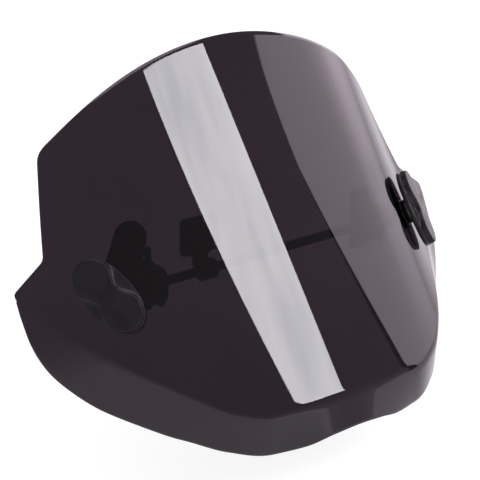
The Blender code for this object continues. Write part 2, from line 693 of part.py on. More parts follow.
def make_steady_clip(clip_mat, liner_mat, screw_mat):
    """Single clip that steadies the rod's middle from above."""
    inner = ROD_R + GAP
    liner = tube(inner, inner + LINER_WALL, -STEADY_HALF + 0.5, STEADY_HALF - 0.5)
    add_object("steady_liner", liner, liner_mat, across_frame(STEADY_X))
    ring_in = inner + LINER_WALL + GAP
    ring = tube(ring_in, ring_in + STEADY_WALL, -STEADY_HALF, STEADY_HALF)
    clip = add_object("steady_clip", ring, clip_mat, across_frame(STEADY_X))
    tab_back = ring_in + TAB_START + TAB_THICK
    half, cut, neck = TAB_HALF, TAB_CORNER, STEADY_HALF
    right = [(neck, 0), (neck, TAB_LOW), (half - cut / 2, TAB_LOW), (half, TAB_LOW + cut / 2),
             (half, TAB_HIGH - cut), (half - cut, TAB_HIGH)]
    outline = right + [(-x, z) for x, z in reversed(right)]
    tab = prism(outline, -TAB_THICK, 0.0)
    tab_frame = Matrix(((1, 0, 0, STEADY_X * MM), (0, 0, 1, tab_back * MM), (0, 1, 0, 0),
                        (0, 0, 0, 1)))
    combine(clip, add_object("steady_tab", tab, clip_mat, tab_frame), "UNION")
    bolt_at = (Matrix.Translation((STEADY_X * MM, tab_back * MM, TAB_BOLT_Z * MM))
               @ Matrix.Rotation(math.pi / 2, 4, "X"))
    hole = add_object("steady_hole", rod(STUD_R + GAP, -5, 12, SMALL_ROUND), clip_mat, bolt_at)
    combine(clip, hole, "DIFFERENCE")
    seat = TAB_THICK + GAP
    top = seat + BOLT_HEAD
    floor = seat + 2.0
    socket = 2.2
    points = [(0, -12), (STUD_R - 0.6, -12), (STUD_R, -11.4), (STUD_R, seat),
              (BOLT_FLANGE_R, seat), (BOLT_FLANGE_R, seat + 1.5), (BOLT_HEAD_R, top),
              (socket, top), (socket, floor), (0, floor)]
    add_object("steady_bolt", turned(points, SMALL_ROUND), screw_mat, bolt_at)


# ---- assembly ---------------------------------------------------------------
def build():
    for obj in list(bpy.data.objects):
        bpy.data.objects.remove(obj, do_unlink=True)
    acrylic = smoked_acrylic()
    knob_black = knob_plastic()
    stay_black = stay_plastic()
    bright = steel()
    dark = black_steel()
    soft = rubber()
    bush = nylon()
    insert = brass()

    make_sheet(acrylic)
    make_cross_rod(dark)
    make_steady_clip(stay_black, soft, dark)
    for side, sign in SIDES:
        make_knob(side, sign, knob_black, insert)
        make_clamp_washer(side, sign, bright)
        make_grommet(side, sign, soft)
        make_stud(side, sign, bright)
        make_back_washer(side, sign, bright)
        make_arm(side, sign, stay_black)
        make_arm_pad(side, sign, soft)
        make_hub_bush(side, sign, bush)
        make_bracket(side, sign, stay_black)
        make_bracket_cap(side, sign, stay_black)
        make_cap_screws(side, sign, bright)
        make_rod_liner(side, sign, soft)
        make_foot_sleeves(side, sign, bright)


build()
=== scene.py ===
"""Looks of the tilting motorcycle screen: fine meshes and materials around the CAD frame.

Lengths are in mm inside the shape functions and in metres on the objects. +Z is up and
-Y is the front of the motorcycle; "left" and "right" are as seen from the front.
"""

import math

import bmesh
import bpy
from mathutils import Matrix, Vector


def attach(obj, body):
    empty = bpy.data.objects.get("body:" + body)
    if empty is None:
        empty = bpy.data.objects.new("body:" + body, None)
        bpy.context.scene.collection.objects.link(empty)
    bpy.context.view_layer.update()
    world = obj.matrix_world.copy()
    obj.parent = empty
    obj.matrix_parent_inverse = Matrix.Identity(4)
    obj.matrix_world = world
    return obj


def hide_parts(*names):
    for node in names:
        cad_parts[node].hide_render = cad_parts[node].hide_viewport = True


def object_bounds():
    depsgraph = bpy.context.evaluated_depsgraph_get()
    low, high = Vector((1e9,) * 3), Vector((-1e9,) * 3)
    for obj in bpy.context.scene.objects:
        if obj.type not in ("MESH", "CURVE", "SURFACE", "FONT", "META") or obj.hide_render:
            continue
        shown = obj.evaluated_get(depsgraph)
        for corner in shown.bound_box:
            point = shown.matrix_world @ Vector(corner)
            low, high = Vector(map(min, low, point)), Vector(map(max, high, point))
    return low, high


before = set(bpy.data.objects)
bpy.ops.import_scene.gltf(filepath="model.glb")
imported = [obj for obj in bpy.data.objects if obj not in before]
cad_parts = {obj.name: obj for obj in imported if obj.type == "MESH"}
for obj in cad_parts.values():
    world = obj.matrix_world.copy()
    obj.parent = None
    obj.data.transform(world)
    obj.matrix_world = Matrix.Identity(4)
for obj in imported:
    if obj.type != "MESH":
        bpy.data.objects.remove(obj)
CAD_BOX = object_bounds()

MM = 0.001
GAP = 0.3
FINE = 72                      # sides of the turned pieces
SIDES = (("left", -1.0), ("right", 1.0))
LEVELS = (("upper", 1.0), ("lower", -1.0))

# ---- the screen sheet, as in the CAD source, mm -----------------------------
RAKE = math.radians(33.8)
SHEET = 3.0
ROD_H, ROD_D = 134.0, 48.0
BEND_LOW, BEND_HIGH = 113.5, 136.0
BEND_WIDTH_LOW, BEND_WIDTH_HIGH = 34.6, 41.7
SLOPE_LOW, SLOPE_HIGH = 0.65, 1.29
BEND_FADE = 135.0
FLARE_X, FLARE_WIDTH, FLARE_SLOPE = 182.0, 13.0, 0.52
CROWN_LOW, CROWN_HIGH, CROWN_REACH = 6.7, 14.3, 140.0
PANEL_HEIGHT = 300.0
TOP_HEIGHT, TOP_RADIUS = 312.5, 301.0
SHOULDER = (169.5, 261.0, 17.0)
EAR_ROOT = (189.0, 178.5, 9.0)
EAR_CORNER = (217.0, 160.5, 4.0)
EAR_END = (216.0, 156.0)
CREASE = [(0, 0), (40, -0.5), (75, 0.5), (105, 12), (130, 34), (155, 63), (180, 98),
          (200, 133), (216, 155)]
LIP_WIDTH = [(0, 26.5), (25, 27.5), (50, 31), (80, 32.5), (110, 34), (140, 38.5),
             (165, 39.5), (185, 34.5), (200, 24), (210, 11), (216, 1.2)]
LIP_TUCK_ENDS, LIP_TUCK_MID = math.radians(13), math.radians(42)
LIP_TUCK_X = 100.0
CREASE_BLEND = 5.0
EDGE_BULGE = 0.35              # how far the polished edge stands out at mid-thickness
STRAIGHT = math.radians(86)    # half of a corner's angle from which it is left sharp

# ---- clamp stack, arms, rod and stay, mm ------------------------------------
KNOB_X, KNOB_H = 157.6, 133.6
STUD_R, HOLE_R = 3.0, 5.5
STUD_BORE = STUD_R + GAP
THREAD_TURNS, THREAD_DEPTH = 18, 0.42
GROMMET_R, GROMMET_LIP = 11.0, 1.5
CLAMP_R, CLAMP_THICK = 12.0, 1.6
KNOB_BASE = GAP + GROMMET_LIP + GAP + CLAMP_THICK + GAP
KNOB_LENGTH, KNOB_WIDTH, KNOB_HEIGHT = 70.0, 39.0, 10.0
KNOB_DISC = 3.6
WAIST_REACH, WAIST_PINCH = 0.36, 0.54
KNOB_RIB = 0.35
HOLLOW_IN, HOLLOW_OUT, HOLLOW_DEEP = 9.0, 15.5, 1.4
KNOB_ANGLE = {"left": math.radians(24), "right": math.radians(6)}
INSERT_R, INSERT_GROOVE_R = 4.8, 4.0
INSERT_LOW, INSERT_HIGH = 0.2, 7.6
GROOVE_LOW, GROOVE_HIGH, GROOVE_SLOPE = 3.0, 4.4, 0.4
STUD_OUT = KNOB_BASE + INSERT_HIGH - 0.2
ARM_FRONT = SHEET + GAP + GROMMET_LIP + GAP
ARM_THICK = 4.0
HEAD_R, HEAD_THICK = 5.8, 4.0
BACK_WASHER, BACK_WASHER_R = 1.2, 7.0
ARM_END = (133.0, 173.0)
ARM_FOOT_R, ARM_END_R = 13.5, 13.0
TROUGH_ENDS, TROUGH_HALF, TROUGH_DEEP = (0.36, 0.92), 6.4, 1.3
PAD_R = 8.5
ROD_R, ROD_HALF = 4.0, 140.0
HUB_IN, HUB_OUT, HUB_R = 127.0, 142.0, 9.0
BUSH_WALL, WASHER_R = 1.2, 8.5
BRACKET_IN, BRACKET_OUT = 107.0, 125.0
BRACKET_MIDDLE = (BRACKET_IN + BRACKET_OUT) / 2
BRACKET_HALF = (BRACKET_OUT - BRACKET_IN) / 2
BRACKET_FRONT, BRACKET_SPLIT, BRACKET_BACK = -12.0, 0.0, 16.0
BRACKET_LOW, BRACKET_HIGH = -15.0, 15.0
LINER_WALL = 2.0
FOOT_THICK = 5.0
FOOT_LOW, FOOT_HIGH = -27.0, 27.0
FOOT_HOLE_R, FOOT_HOLE_Z, FOOT_SLEEVE_BORE_R = 4.4, 20.0, 3.2
CAP_SCREW_Z, CAP_SCREW_R, CAP_SCREW_HEAD_R = 10.0, 2.0, 3.5
CAP_SCREW_END, SOCKET_R = -11.5, 1.75
STEADY_X, STEADY_HALF, STEADY_WALL = -61.0, 7.0, 2.0
TAB_START, TAB_THICK = 0.6, 3.4
TAB_HALF, TAB_LOW, TAB_HIGH = 19.0, 12.0, 44.0
TAB_BOLT_Z = 28.0

# ---- camera and light -------------------------------------------------------
CAMERA_AZIMUTH, CAMERA_ELEVATION = -37.83, 21.09
CAMERA_DISTANCE = 1.37065
CAMERA_AIM = Vector((-0.04207, -0.02074, 0.02764))
CAMERA_LENS = 127.5
FLOOR_SIZE, FLOOR_LIGHT = 40.0, 0.72
MIRROR_TINT = (1.0, 0.87, 0.985)     # colour of the surroundings in mirrors
FLOOR_MIRROR_PAINTED_LIGHT = (0.3, 0.66)         # painted light: the floor's glow in mirrors, dim on the left and brighter on the right
FLOOR_MIRROR_PAINTED_LIGHT_X = (-0.25, 0.35)     # and where it has those values, in metres
# the room that the sheet mirrors: azimuths from the front and elevations, degrees
HAZE_TOP, HAZE_LIGHT, ROOM_LIGHT = 30.0, 0.45, 0.26
WALL_START, WALL_END, WALL_TOP = 55.0, 165.0, 33.0
WALL_CORNER, WALL_CORNER_DROP = 6.0, 2.5
WALL_LIFT, WALL_LOW_LIGHT, WALL_LIGHT = 14.0, 0.9, 2.5
FAR_START, FAR_WIDTH, FAR_GAIN = 74.0, 22.0, 0.5
GAP_TOP, GAP_LEAN, EDGE_BLUR = 31.0, 0.17, 0.25
CEILING_START, CEILING_LIGHT = 64.0, 2.5
SOFTBOX_DISTANCE = 3.0
# where the softbox's mirror image lies on the sheet, mm
BAND_LEFT_HIGH, BAND_LEFT_LOW = -79.5, -54.0
BAND_RIGHT_HIGH, BAND_RIGHT_LOW = -20.0, -8.2
BAND_TOP_LEFT, BAND_TOP_RIGHT, BAND_BOTTOM = 297.0, 308.0, -45.0


# ---- shader helpers ---------------------------------------------------------
def node_adder(tree):
    """A function that adds nodes to the tree."""
    def add(kind, links=(), **values):
        """Add a node, set its inputs or properties and link its inputs."""
        node = tree.nodes.new(kind)
        for key, value in values.items():
            if key in node.inputs:
                node.inputs[key].default_value = value
            else:
                setattr(node, key, value)
        for output, key in links:
            tree.links.new(output, node.inputs[key])
        return node

    return add


def new_material(name):
    """A material, its node adder and its shader's painter."""
    mat = bpy.data.materials.new(name)
    mat.use_nodes = True
    tree = mat.node_tree

    def paint(**values):
        """Set or link the shader's inputs by name, with _ for a space."""
        for key, value in values.items():
            socket = tree.nodes["Principled BSDF"].inputs[key.replace("_", " ")]
            if isinstance(value, bpy.types.NodeSocket):
                tree.links.new(value, socket)
            else:
                socket.default_value = value

    return mat, node_adder(tree), paint


def noise(add, source, scale, detail=3.0, rough=0.55, stretch=(1.0, 1.0, 1.0)):
    """Noise from 0 to 1 on the given coordinates."""
    mapping = add("ShaderNodeMapping", [(source, "Vector")], Scale=stretch)
    return add("ShaderNodeTexNoise", [(mapping.outputs["Vector"], "Vector")],
               Scale=scale, Detail=detail, Roughness=rough).outputs["Fac"]


def spread(add, value, low, high, start=0.3, end=0.7):
    """A texture's value stretched to run from low to high."""
    node = add("ShaderNodeMapRange", [(value, "Value")])
    node.inputs["From Min"].default_value = start
    node.inputs["From Max"].default_value = end
    node.inputs["To Min"].default_value = low
    node.inputs["To Max"].default_value = high
    return node.outputs["Result"]


def two_tone(add, value, dark, light, start=0.35, end=0.65):
    """Colour that goes from dark to light as the value goes from start to end."""
    ramp = add("ShaderNodeValToRGB", [(value, "Fac")])
    ramp.color_ramp.elements[0].position = start
    ramp.color_ramp.elements[0].color = (*dark, 1.0)
    ramp.color_ramp.elements[1].position = end
    ramp.color_ramp.elements[1].color = (*light, 1.0)
    return ramp.outputs["Color"]


def bump(add, heights):
    """Normal from chained bumps; heights are (value, distance in metres, strength)."""
    links = []
    for value, distance, strength in heights:
        node = add("ShaderNodeBump", [(value, "Height")] + links, Strength=strength,
                   Distance=distance)
        links = [(node.outputs["Normal"], "Normal")]
    return node.outputs["Normal"]


def object_coordinates(add):
    """Each point's place in its object's own frame, in metres."""
    return add("ShaderNodeTexCoord").outputs["Object"]


def in_mirror(add):
    """One for rays that were mirrored, zero for those that also passed the tint."""
    rays = add("ShaderNodeLightPath")
    return add("ShaderNodeMath", [(rays.outputs["Is Glossy Ray"], 0),
                                  (rays.outputs["Is Transmission Ray"], 1)],
               operation="SUBTRACT", use_clamp=True).outputs["Value"]


def smoked_acrylic():
    """Clear cast acrylic, tinted dark, with a faint plum cast and polished faces."""
    mat, add, paint = new_material("smoked_acrylic")
    where = object_coordinates(add)
    cloud = noise(add, where, 9.0, 2.0)
    haze = noise(add, where, 60.0, 4.0)
    wave = noise(add, where, 14.0, 1.0)
    paint(Transmission_Weight=1.0, IOR=1.49, Roughness=spread(add, haze, 0.0, 0.022),
          Base_Color=two_tone(add, cloud, (0.0160, 0.0098, 0.0152), (0.0182, 0.0114, 0.0174)),
          Normal=bump(add, [(wave, 0.0003, 0.05)]))
    return mat


def moulded_plastic(name, dark, light, rough_low, rough_high, grain, sheen=0.5):
    """Black moulding with spark-eroded grain, faint flow marks and rubbed patches."""
    mat, add, paint = new_material(name)
    where = object_coordinates(add)
    flow = noise(add, where, 55.0, 4.0, 0.6, (1.0, 1.0, 0.45))
    rubbed = noise(add, where, 140.0, 5.0, 0.7)
    pits = add("ShaderNodeTexVoronoi", [(where, "Vector")], Scale=grain).outputs["Distance"]
    fine = noise(add, where, grain * 1.7, 3.0)
    paint(IOR=1.5, Specular_IOR_Level=sheen, Base_Color=two_tone(add, flow, dark, light),
          Roughness=spread(add, rubbed, rough_low, rough_high),
          Normal=bump(add, [(pits, 0.00009, 0.45), (fine, 0.00005, 0.4)]))
    return mat


def turned_metal(name, dark, light, rough_low, rough_high, metallic, lines):
    """Plated or blackened metal with fine rings left by turning about local Z."""
    mat, add, paint = new_material(name)
    where = object_coordinates(add)
    cloud = noise(add, where, 180.0, 4.0)
    smear = noise(add, where, 420.0, 5.0, 0.6, (1.0, 1.0, 0.3))
    rings = add("ShaderNodeTexWave", [(where, "Vector")], wave_type="RINGS",
                rings_direction="Z", Scale=lines, Distortion=1.5, Detail=2.0).outputs["Fac"]
    paint(Metallic=metallic, Base_Color=two_tone(add, cloud, dark, light),
          Roughness=spread(add, smear, rough_low, rough_high),
          Normal=bump(add, [(rings, 0.00002, 0.35), (smear, 0.00002, 0.25)]))
    return mat


def soft_rubber():
    """Dull black rubber with a dusty bloom and fine pores."""
    mat, add, paint = new_material("rubber")
    where = object_coordinates(add)
    bloom = noise(add, where, 210.0, 5.0, 0.65)
    pores = noise(add, where, 1900.0, 4.0)
    paint(IOR=1.45, Roughness=spread(add, bloom, 0.72, 0.9),
          Base_Color=two_tone(add, bloom, (0.010, 0.010, 0.011), (0.026, 0.025, 0.025)),
          Normal=bump(add, [(pores, 0.00008, 0.5)]))
    return mat


def natural_nylon():
    """Pale grey nylon, slightly see-through, with a moulded grain."""
    mat, add, paint = new_material("nylon")
    where = object_coordinates(add)
    cloud = noise(add, where, 160.0, 4.0)
    grain = noise(add, where, 1500.0, 3.0)
    paint(IOR=1.53, Subsurface_Weight=0.15, Subsurface_Scale=0.002,
          Base_Color=two_tone(add, cloud, (0.31, 0.30, 0.27), (0.40, 0.39, 0.36)),
          Roughness=spread(add, cloud, 0.36, 0.5), Normal=bump(add, [(grain, 0.00004, 0.4)]))
    return mat


def floor_paper():
    """Pale matt floor, lit a little from below; dimmer and tinted in mirrors, where its glow is
    painted light that runs from dim on the left to brighter on the right.
    """
    mat, add, paint = new_material("floor_paper")
    where = object_coordinates(add)
    mirror_ray = in_mirror(add)
    across = add("ShaderNodeSeparateXYZ", [(where, "Vector")]).outputs["X"]
    # painted light: in mirrors the floor's glow ramps across X from dim on the left to brighter on
    # the right, so the sheet's lip mirrors it darker on the left
    glow = add("ShaderNodeMix", [(mirror_ray, "Factor"),
                                 (spread(add, across, *FLOOR_MIRROR_PAINTED_LIGHT, *FLOOR_MIRROR_PAINTED_LIGHT_X), "B")],
               A=FLOOR_LIGHT)
    paint(Roughness=1.0, Specular_IOR_Level=0.0,
          Base_Color=two_tone(add, noise(add, where, 3.0, 3.0), (0.40,) * 3, (0.42,) * 3),
          Emission_Color=two_tone(add, mirror_ray, (1.0, 1.0, 1.0), MIRROR_TINT),
          Emission_Strength=glow.outputs["Result"])
    return mat


MATERIALS = {
    "smoked_acrylic": smoked_acrylic(),
    "knob_plastic": moulded_plastic("knob_plastic", (0.0062, 0.0048, 0.0064),
                                    (0.0110, 0.0090, 0.0112), 0.26, 0.42, 1500.0, 0.3),
    "stay_plastic": moulded_plastic("stay_plastic", (0.0095, 0.0088, 0.0135),
                                    (0.0175, 0.0165, 0.0225), 0.4, 0.62, 1100.0),
    "steel": turned_metal("steel", (0.46, 0.47, 0.49), (0.62, 0.62, 0.61), 0.2, 0.38, 1.0, 900.0),
    "black_steel": turned_metal("black_steel", (0.020, 0.020, 0.023), (0.042, 0.041, 0.045),
                                0.3, 0.48, 0.55, 500.0),
    "brass": turned_metal("brass", (0.66, 0.47, 0.20), (0.80, 0.61, 0.31), 0.2, 0.36, 1.0, 1200.0),
    "rubber": soft_rubber(),
    "nylon": natural_nylon(),
}


# ---- shape functions shared with the CAD source -----------------------------
def soft_ramp(x, start, width):
    """Zero before start, then a slope of one, rounded over width; even in x."""
    half = width / 2.0
    return (half * math.log1p(math.exp((x - start) / half))
            + half * math.log1p(math.exp((-x - start) / half))
            - 2.0 * half * math.log1p(math.exp(-start / half)))


def panel_depth(x, h):
    """Depth of the shield's outer face behind its centre line."""
    fade = math.exp(-max(h, -30.0) / BEND_FADE)
    start = BEND_HIGH + (BEND_LOW - BEND_HIGH) * fade
    width = BEND_WIDTH_HIGH + (BEND_WIDTH_LOW - BEND_WIDTH_HIGH) * fade
    slope = SLOPE_HIGH + (SLOPE_LOW - SLOPE_HIGH) * fade
    rise = min(max(h / PANEL_HEIGHT, -0.2), 1.2)
    crown = CROWN_LOW + (CROWN_HIGH - CROWN_LOW) * rise
    bulge = crown * (x / 100.0) ** 2 * math.exp(-((x / CROWN_REACH) ** 2))
    flank = slope * soft_ramp(x, start, width)
    flare = (slope - FLARE_SLOPE) * soft_ramp(x, FLARE_X, FLARE_WIDTH)
    return flank - flare + bulge


def place(x, h, d):
    """A point of the shield's frame in the object's frame, mm."""
    up = h - ROD_H
    back = d - ROD_D
    return Vector((x, up * math.sin(RAKE) + back * math.cos(RAKE),
                   up * math.cos(RAKE) - back * math.sin(RAKE)))


def panel_point(x, h):
    """A point of the outer face in the object's frame, mm."""
    return place(x, h, panel_depth(x, h))


def panel_normal(x, h):
    """Outward normal of the outer face, towards the front."""
    step = 0.5
    across = panel_point(x + step, h) - panel_point(x - step, h)
    along = panel_point(x, h + step) - panel_point(x, h - step)
    return across.cross(along).normalized()


def eased(points, x):
    """Smooth curve through points with rising x (monotone cubic)."""
    xs = [p[0] for p in points]
    ys = [p[1] for p in points]
    steps = [(ys[i + 1] - ys[i]) / (xs[i + 1] - xs[i]) for i in range(len(xs) - 1)]
    tangents = [0.0 if xs[0] == 0 else steps[0]]
    for before, after in zip(steps, steps[1:]):
        same_way = before * after > 0
        tangents.append(2 * before * after / (before + after) if same_way else 0.0)
    tangents.append(steps[-1])
    x = min(max(x, xs[0]), xs[-1])
    i = max(k for k in range(len(xs) - 1) if xs[k] <= x)
    span = xs[i + 1] - xs[i]
    t = (x - xs[i]) / span
    return ((2 * t ** 3 - 3 * t ** 2 + 1) * ys[i] + (t ** 3 - 2 * t ** 2 + t) * span * tangents[i]
            + (3 * t ** 2 - 2 * t ** 3) * ys[i + 1] + (t ** 3 - t ** 2) * span * tangents[i + 1])


def fillet(before, corner, after, radius, steps=14):
    """Points of the arc that rounds a corner of an outline."""
    a = (Vector(before) - Vector(corner)).normalized()
    b = (Vector(after) - Vector(corner)).normalized()
    half = a.angle(b) / 2.0
    reach = radius / math.tan(half)
    centre = Vector(corner) + (a + b).normalized() * (radius / math.sin(half))
    first = Vector(corner) + a * reach - centre
    last = Vector(corner) + b * reach - centre
    arc = []
    for k in range(steps + 1):
        mixed = first.lerp(last, k / steps).normalized() * radius
        arc.append(tuple(centre + mixed))
    return arc


def corner_arc(before, corner, after, radius, steps):
    """A corner's arc, made smaller where the corner's sides are short."""
    a = Vector(before) - Vector(corner)
    b = Vector(after) - Vector(corner)
    half = a.angle(b) / 2.0
    if half > STRAIGHT:
        return [tuple(corner)]
    limit = 0.45 * min(a.length, b.length) * math.tan(half)
    return fillet(before, corner, after, min(radius, limit), steps)


def rounded(outline, radius, steps=4):
    """A closed outline with every corner rounded."""
    points = []
    for i, corner in enumerate(outline):
        after = outline[(i + 1) % len(outline)]
        points += corner_arc(outline[i - 1], corner, after, radius, steps)
    return points


def hexagon(radius):
    """Corners of a hexagon."""
    angles = [math.pi * k / 3 for k in range(6)]
    return [(radius * math.cos(a), radius * math.sin(a)) for a in angles]


def top_outline():
    """Right half of the sheet's free edge, from the centre line to the ear's end."""
    points = []
    reach = SHOULDER[0] - SHOULDER[2]
    steps = 59
    for k in range(steps + 1):
        x = reach * k / steps
        points.append((x, TOP_HEIGHT - TOP_RADIUS + math.sqrt(TOP_RADIUS ** 2 - x ** 2)))
    points += fillet(points[-1], SHOULDER[:2], EAR_ROOT[:2], SHOULDER[2])
    points += fillet(SHOULDER[:2], EAR_ROOT[:2], EAR_CORNER[:2], EAR_ROOT[2])
    points += fillet(EAR_ROOT[:2], EAR_CORNER[:2], EAR_END, EAR_CORNER[2], 8)
    return points


def resample(points, stations):
    """Points at the given shares of a polyline's length."""
    lengths = [0.0]
    for a, b in zip(points, points[1:]):
        lengths.append(lengths[-1] + math.dist(a, b))
    result = []
    i = 0
    for share in stations:
        target = share * lengths[-1]
        while i < len(points) - 2 and lengths[i + 1] < target:
            i += 1
        span = lengths[i + 1] - lengths[i]
        t = (target - lengths[i]) / span if span else 0.0
        result.append(tuple(Vector(points[i]).lerp(Vector(points[i + 1]), t)))
    return result


def frame_along(origin, axis, turn=0.0):
    """Matrix whose Z lies along axis; origin in mm, the result in metres."""
    z = Vector(axis).normalized()
    guide = Vector((0.0, math.sin(RAKE), math.cos(RAKE)))
    y = (guide - z * guide.dot(z)).normalized()
    x = y.cross(z)
    rotation = Matrix((x, y, z)).transposed() @ Matrix.Rotation(turn, 3, "Z")
    return Matrix.Translation(Vector(origin) * MM) @ rotation.to_4x4()


def stud_frame(sign, turn=0.0):
    """Z along the stud, away from the sheet; the origin on the sheet's outer face."""
    point = panel_point(sign * KNOB_X, KNOB_H)
    return frame_along(point, panel_normal(sign * KNOB_X, KNOB_H), turn)


ALONG_X = Matrix.Rotation(math.pi / 2, 4, "Y")
FROM_FRONT = Matrix.Rotation(math.pi / 2, 4, "X")     # local Z points to -Y


def across_frame(x):
    """Z along +X, from the given x on the rod's axis."""
    return Matrix.Translation((x * MM, 0, 0)) @ ALONG_X


def lateral_frame(sign, y, z):
    """At a bracket's middle, with local Z pointing to the front."""
    return Matrix.Translation((sign * BRACKET_MIDDLE * MM, y * MM, z * MM)) @ FROM_FRONT


# ---- mesh helpers -----------------------------------------------------------
def raw_object(name, bm, matrix=None):
    """Store a bmesh, built in mm about its own origin, as an object."""
    bmesh.ops.recalc_face_normals(bm, faces=bm.faces)
    bmesh.ops.scale(bm, vec=(MM, MM, MM), verts=bm.verts)
    mesh = bpy.data.meshes.new(name)
    bm.to_mesh(mesh)
    bm.free()
    obj = bpy.data.objects.new(name, mesh)
    bpy.context.scene.collection.objects.link(obj)
    if matrix is not None:
        obj.matrix_world = matrix
    return obj


def apply_modifiers(obj):
    """Replace an object's mesh by what its modifiers make of it."""
    bpy.context.view_layer.update()
    graph = bpy.context.evaluated_depsgraph_get()
    mesh = bpy.data.meshes.new_from_object(obj.evaluated_get(graph))
    obj.modifiers.clear()
    old = obj.data
    obj.data = mesh
    bpy.data.meshes.remove(old)


def combine(obj, operands, operation):
    """Boolean with each operand, which is then deleted."""
    for operand in operands:
        modifier = obj.modifiers.new("combine", "BOOLEAN")
        modifier.operation = operation
        modifier.solver = "EXACT"
        modifier.object = operand
    apply_modifiers(obj)
    for operand in operands:
        bpy.data.objects.remove(operand, do_unlink=True)


def soften(obj, width, angle=60.0):
    """Round the sharp edges; width in mm."""
    modifier = obj.modifiers.new("soften", "BEVEL")
    modifier.width = width * MM
    modifier.segments = 3
    modifier.limit_method = "ANGLE"
    modifier.angle_limit = math.radians(angle)
    modifier.harden_normals = False
    apply_modifiers(obj)


def finish_piece(obj, body, slot, nodes, sharp=32.0):
    """Material, shading and the frame's bookkeeping of one piece."""
    mesh = obj.data
    mesh.materials.clear()
    mesh.materials.append(MATERIALS[slot])
    mesh.shade_smooth()
    mesh.set_sharp_from_angle(angle=math.radians(sharp))
    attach(obj, body)
    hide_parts(*nodes)


def strip(bm, a, b):
    """Faces between two closed rings of vertices; one of them may be a single point."""
    count = max(len(a), len(b))
    for k in range(count):
        n = (k + 1) % count
        if len(a) == 1:
            bm.faces.new((a[0], b[k], b[n]))
        elif len(b) == 1:
            bm.faces.new((a[k], a[n], b[0]))
        else:
            bm.faces.new((a[k], a[n], b[n], b[k]))


def turned(points, sides=FINE):
    """Turn a closed (radius, z) profile about Z; points on the axis are allowed."""
    bm = bmesh.new()
    rings = []
    for radius, z in points:
        if radius == 0:
            rings.append([bm.verts.new((0, 0, z))])
            continue
        angles = [2 * math.pi * k / sides for k in range(sides)]
        rings.append([bm.verts.new((radius * math.cos(a), radius * math.sin(a), z))
                      for a in angles])
    pairs = list(zip(rings, rings[1:]))
    if len(rings[0]) > 1 and len(rings[-1]) > 1:
        pairs.append((rings[-1], rings[0]))
    for a, b in pairs:
        strip(bm, a, b)
    return bm


def tube(inner, outer, low, high, edge=0.3):
    """Ring with rounded edges."""
    profile = [(inner, low), (outer, low), (outer, high), (inner, high)]
    return turned(rounded(profile, edge, 3))


def solid_turn(profile, edge=0.3):
    """Solid of revolution; profile runs from the axis round to the axis."""
    points = [profile[0]]
    for before, corner, after in zip(profile, profile[1:], profile[2:]):
        points += corner_arc(before, corner, after, edge, 3)
    points.append(profile[-1])
    return turned(points)


def cylinder(name, radius, low, high, matrix):
    """A plain cutter."""
    bm = turned([(0, low), (radius, low), (radius, high), (0, high)])
    return raw_object(name, bm, matrix)


def prism(outline, low, high):
    """Outline points (x, y) raised from z = low to z = high."""
    bm = bmesh.new()
    bottom = [bm.verts.new((x, y, low)) for x, y in outline]
    top = [bm.verts.new((x, y, high)) for x, y in outline]
    bm.faces.new(list(reversed(bottom)))
    bm.faces.new(top)
    strip(bm, bottom, top)
    return bm


def skin(rows):
    """Closed body from rings of points."""
    bm = bmesh.new()
    rings = [[bm.verts.new(p) for p in row] for row in rows]
    for a, b in zip(rings, rings[1:]):
        strip(bm, a, b)
    bm.faces.new(list(reversed(rings[0])))
    bm.faces.new(rings[-1])
    return bm


# ---- the sheet --------------------------------------------------------------
def lip_direction(x, tangent, normal):
    """The way the lip hangs from the crease: down, tucked towards the rear."""
    down = tangent.cross(normal).normalized()
    if down.z > 0:
        down = -down
    share = min(abs(x) / LIP_TUCK_X, 2.0)
    tuck = LIP_TUCK_ENDS + (LIP_TUCK_MID - LIP_TUCK_ENDS) * math.sin(math.pi * share / 2) ** 2
    return down * math.cos(tuck) - normal * math.sin(tuck)


def sheet_grid(half_columns, panel_rows, bend_rows, lip_rows):
    """Outer-face points: rows from the free edge over the crease to the lip's edge."""
    stations = [k / half_columns for k in range(half_columns + 1)]
    upper = resample(top_outline(), stations)
    steps = 600
    across = [CREASE[-1][0] * k / steps for k in range(steps + 1)]
    crease = [(x, eased(CREASE, x)) for x in across]
    lower = resample(crease, stations)
    right = list(zip(upper, lower))
    left = [((-a[0], a[1]), (-b[0], b[1])) for a, b in reversed(right[1:])]
    columns = left + right
    creases = [panel_point(*low) for _, low in columns]
    grid = []
    for index, (high, low) in enumerate(columns):
        before = creases[max(index - 1, 0)]
        after = creases[min(index + 1, len(columns) - 1)]
        tangent = (after - before).normalized()
        corner = creases[index]
        drop = lip_direction(low[0], tangent, panel_normal(*low))
        width = eased(LIP_WIDTH, abs(low[0]))
        height = math.dist(high, low)
        reach = min(CREASE_BLEND, height * 0.3, width * 0.4)
        column = []
        for k in range(panel_rows + 1):
            share = (1.0 - reach / height) * k / panel_rows
            x = high[0] + (low[0] - high[0]) * share
            h = high[1] + (low[1] - high[1]) * share
            column.append(panel_point(x, h))
        start = column[-1]
        finish = corner + drop * reach
        for k in range(1, bend_rows + 1):
            t = k / (bend_rows + 1)
            column.append(start * (1 - t) ** 2 + corner * 2 * t * (1 - t) + finish * t ** 2)
        for k in range(lip_rows + 1):
            column.append(finish + drop * (width - reach) * k / lip_rows)
        grid.append(column)
    return grid


def grid_normals(grid):
    """Normals of a grid of points, towards the front."""
    columns, rows = len(grid), len(grid[0])
    normals = []
    for i in range(columns):
        line = []
        for j in range(rows):
            across = grid[min(i + 1, columns - 1)][j] - grid[max(i - 1, 0)][j]
            down = grid[i][min(j + 1, rows - 1)] - grid[i][max(j - 1, 0)]
            line.append(down.cross(across).normalized())
        normals.append(line)
    return normals


